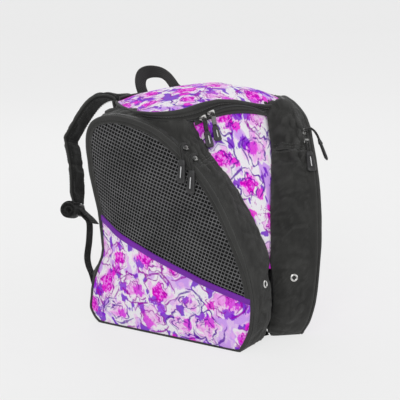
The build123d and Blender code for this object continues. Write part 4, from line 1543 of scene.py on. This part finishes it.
KINK, CROSS_SEAM = run_at(PAD_LOWER[0]), run_at(strap_at(104.0, 77.0))
PAD_HINT = np.array([STRAP_N * h + ACROSS * (1 - h) for h in ease(40, 95, PAD_RUN)])
PAD_AROUND = 28
PAD_WIDTH = np.interp(PAD_RUN, [0, 20, 60, PAD_END - 18, PAD_END], [28, 38, 48, 47, 36])
PAD_THICK = np.interp(PAD_RUN, [0, 25, 60, PAD_END - 14, PAD_END], [3.5, 6.0, 12.0, 11.0, 4.5])
for place, amount in ((KINK, 0.62), (CROSS_SEAM, 0.5)):     # drawn in at the two seams
    PAD_THICK = PAD_THICK * (1 - amount * bell(PAD_RUN, place, 3.0))
    PAD_WIDTH = PAD_WIDTH * (1 - 0.05 * bell(PAD_RUN, place, 5.0))
PAD_THICK = PAD_THICK * (1 + 0.16 * ripple(PAD_RUN / 22, 0 * PAD_RUN, 101, 2))
PAD_HALF = np.stack([PAD_WIDTH / 2, PAD_THICK / 2], 1)
PAD_SECTIONS = superellipse(PAD_AROUND, 0.62, 0.80) * PAD_HALF[:, None]


def settled_pad():
    """Pad surface puffed out by a cloth simulation, relative to its centre line."""
    across, normal = frames(PAD_PATH, PAD_HINT)
    P = (PAD_PATH[:, None] + PAD_SECTIONS[..., 0:1] * across[:, None]
         + PAD_SECTIONS[..., 1:2] * normal[:, None])
    V, F = grid(P, close_v=True)
    share = np.abs(PAD_SECTIONS[..., 0]) / (PAD_WIDTH[:, None] / 2)
    run = PAD_RUN[:, None] + 0 * share
    pin = ((share > 0.93) | (np.abs(run - KINK) < 2.5) | (np.abs(run - CROSS_SEAM) < 2.5)
           | (run < 12) | (run > PAD_END - 6))
    V = simulate(V, tube_faces(F, len(PAD_PATH), PAD_AROUND), pin.reshape(-1), pressure=5.0,
                 grow=0.05, cap=6.0, stiff=10.0, bend=0.1)
    return V.reshape(P.shape) - PAD_PATH[:, None]


PAD_SURFACE = settled_pad()


def shoulder_pad(side):
    """Padded strap with rolled edges, side stitching and cross seams."""
    name, mirror = side.name + "_shoulder_pad_cloth", side.mirror
    path = PAD_PATH
    if side.right:      # this strap sags a little near its top
        path = path - UP * 7.0 * bell(PAD_RUN, 60, 45.0)[:, None]
    V, F = grid((PAD_SURFACE + path[:, None]) * mirror, side.right, close_v=True)
    uv = uv_grid(PAD_RUN, run_length(PAD_SECTIONS[20]))
    pad = make(name, V, tube_faces(F, len(path), PAD_AROUND), PAD, uv)
    face_outward(pad)
    modifier = pad.modifiers.new("smooth", "SUBSURF")
    modifier.levels = modifier.render_levels = 1
    across, normal = frames(path, PAD_HINT)
    parts = [pad]
    below_root = PAD_RUN > 30
    for k in (-1, 1):
        edge = path + across * (k * (PAD_WIDTH / 2 - 0.4))[:, None]
        parts.append(sweep("pad_roll", edge * mirror, PAD_HINT * mirror, circle(2.0, 8), ROLL))
        for f in (-1, 1):
            line = (path + across * (k * (PAD_WIDTH / 2 - 5.0))[:, None]
                    + normal * (f * PAD_THICK * 0.40)[:, None])
            parts.append(stitches("pad_line", line[below_root] * mirror,
                                  (normal * f)[below_root] * mirror))
    for place in (KINK + 4, KINK - 4, CROSS_SEAM):
        i = int(np.argmin(np.abs(PAD_RUN - place)))
        reach = PAD_WIDTH[i] / 2 - 3
        for f in (-1, 1):
            line = (path[i] + np.linspace(-reach, reach, 20)[:, None] * across[i]
                    + normal[i] * (f * PAD_THICK[i] * 0.46))
            parts.append(stitches("pad_seam", line * mirror, normal[i] * f * mirror, r=0.4))
    o = join(name, parts)
    put_between(o, ("shell", side.name + "_strap"), strap_at(100.0, 1.0) * mirror,
                strap_at(100.0, 15.0) * mirror, "black_fabric", side.name + "_shoulder_pad")
    if not side.right:
        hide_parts("strap_roots")


# webbing from the ladder lock down to the bottom corner, and the free tail: (u, v)
WEB_LINE = [(180, 56.5), (186, 50), (192, 42), (200, 34), (228, 30), (256, 29), (272, 23.5),
            (285, 15), (303, 6), (315, 1)]
TAIL_LINE = [(172, 57), (177, 53), (184, 42), (190, 32), (198, 22)]


def strap_webbing(side):
    """Lower webbing, and the tail with its spare length rolled up beside the ladder lock."""
    mirror, hint = side.mirror, STRAP_N * side.mirror
    path = strap_at(*resample(catmull(WEB_LINE, 6), 3.0).T) * mirror
    o = sweep(side.name + "_webbing_cloth", path, hint, webbing(24, 2.2, 7), WEB)
    put_between(o, ("shell", side.name + "_strap"), strap_at(100.0, 1.0) * mirror,
                strap_at(100.0, 14.0) * mirror, "webbing", side.name + "_strap_webbing")
    path = strap_at(*resample(catmull(TAIL_LINE, 6), 2.5).T) * mirror
    free = sweep("tail_free", path, hint, webbing(24, 2.0, 7), WEB)
    a = np.linspace(0.3, 2 * PI * 4.6, 200)
    r = 1.6 + 13.4 * a / a[-1]
    path = strap_at(181.0 + r * np.cos(a), 66.0 + r * np.sin(a) * 1.1,
                    -14.0 + 2.0 * np.sin(a * 0.5)) * mirror
    rolled = sweep("tail_roll", path, hint, webbing(23, 2.3, 6), WEB)
    put(join(side.name + "_tail_cloth", [free, rolled]), side.name + "_tail", "webbing",
        side.name + "_strap_tail")
    NODES[side.name + "_ladder_lock"].data.materials.append(BUCKLE)


def corner_tab(side):
    """Cloth tab from the webbing's lower end to the pocket's back edge."""
    n = 12
    top = strap_at(np.linspace(306, 284, n), np.linspace(4, 13, n)) * side.mirror
    low = side.at(0.5, np.linspace(14, 116, n), 3.0 + 5.0 * np.linspace(0, 1, n))
    a = np.linspace(0, 1, 16)[:, None, None]
    P = top * (1 - a) + low * a - side.inward * 3.0 * np.sin(PI * a)
    o = sheet(side.name + "_corner_tab", P, BLACK, 2.2, flip=not side.right)
    put(o, "shell", "webbing", *([] if side.right else ["anchor_tabs"]))


for side in (LEFT, RIGHT):
    shoulder_pad(side)
    strap_webbing(side)
    corner_tab(side)


# ---------------------------------------------------------------- floor, light, camera (metres)
def studio_floor():
    """Paper sweep that curves up behind the bag."""
    section = [(-6.0, 0.0), (2.6, 0.0), (3.4, 0.18), (3.9, 0.7), (4.1, 1.5), (4.1, 6.0)]  # y, z
    bm = bmesh.new()
    a, b = [[bm.verts.new((x, y, z)) for y, z in section] for x in (-9, 9)]
    for k in range(len(section) - 1):
        bm.faces.new([a[k], b[k], b[k + 1], a[k + 1]])
    mesh = bpy.data.meshes.new("floor")
    bm.to_mesh(mesh)
    bm.free()
    o = bpy.data.objects.new("floor", mesh)
    scene.collection.objects.link(o)
    sh = Shader("floor_paper")
    sh.set({"Base Color": sh.ramp(sh.noise(30, 2, 0.5), (0.2, 0.106), (0.8, 0.112)),
            "Roughness": 0.95, "Emission Color": (1, 1, 1), "Emission Strength": 0.735})
    mesh.materials.append(sh.material)
    mesh.polygons.foreach_set("use_smooth", [True] * len(mesh.polygons))
    o.matrix_world = Matrix.Rotation(math.radians(-32), 4, "Z")


def studio_world(light=0.60, seen=0.84):
    """White surroundings; light falls on the bag, seen is what the camera sees."""
    world = bpy.data.worlds.new("studio")
    scene.world = world
    world.use_nodes = True
    nodes, links = world.node_tree.nodes, world.node_tree.links
    lit, backdrop = nodes["Background"], nodes.new("ShaderNodeBackground")
    for n, strength in ((lit, light), (backdrop, seen)):
        n.inputs[0].default_value = (1, 1, 1, 1)
        n.inputs[1].default_value = strength
    rays, mix = nodes.new("ShaderNodeLightPath"), nodes.new("ShaderNodeMixShader")
    links.new(rays.outputs["Is Camera Ray"], mix.inputs[0])
    links.new(lit.outputs[0], mix.inputs[1])
    links.new(backdrop.outputs[0], mix.inputs[2])
    links.new(mix.outputs[0], nodes["World Output"].inputs[0])


def disk_light(name, at, target, size, power):
    light = bpy.data.lights.new(name, "AREA")
    light.shape = "DISK"
    light.size = size
    light.energy = power
    o = bpy.data.objects.new(name, light)
    scene.collection.objects.link(o)
    o.location = at
    o.rotation_mode = "QUATERNION"
    o.rotation_quaternion = (Vector(target) - Vector(at)).to_track_quat("-Z", "Y")


def camera():
    data = bpy.data.cameras.new("camera")
    data.sensor_width = 36
    data.lens = 99.3996
    data.clip_start, data.clip_end = 0.05, 60
    o = bpy.data.objects.new("camera", data)
    scene.collection.objects.link(o)
    right = Vector((0.845176, -0.534152, -0.018949))
    up = Vector((0.139118, 0.185615, 0.972725))
    view = Vector((0.516066, 0.824760, -0.231187))
    pose = Matrix((right, up, -view)).transposed().to_4x4()
    pose.translation = Vector((-0.97805, -1.45596, 0.62771))
    o.matrix_world = pose
    scene.camera = o


studio_floor()
studio_world()
disk_light("key", at=(-1.6, -1.7, 1.9), target=(0, 0, 0.2), size=1.3, power=25)
disk_light("fill", at=(1.7, -1.3, 1.2), target=(0, 0, 0.2), size=1.6, power=9)
disk_light("back_light", at=(0.6, 1.8, 1.6), target=(0, 0, 0.25), size=1.2, power=12)
camera()
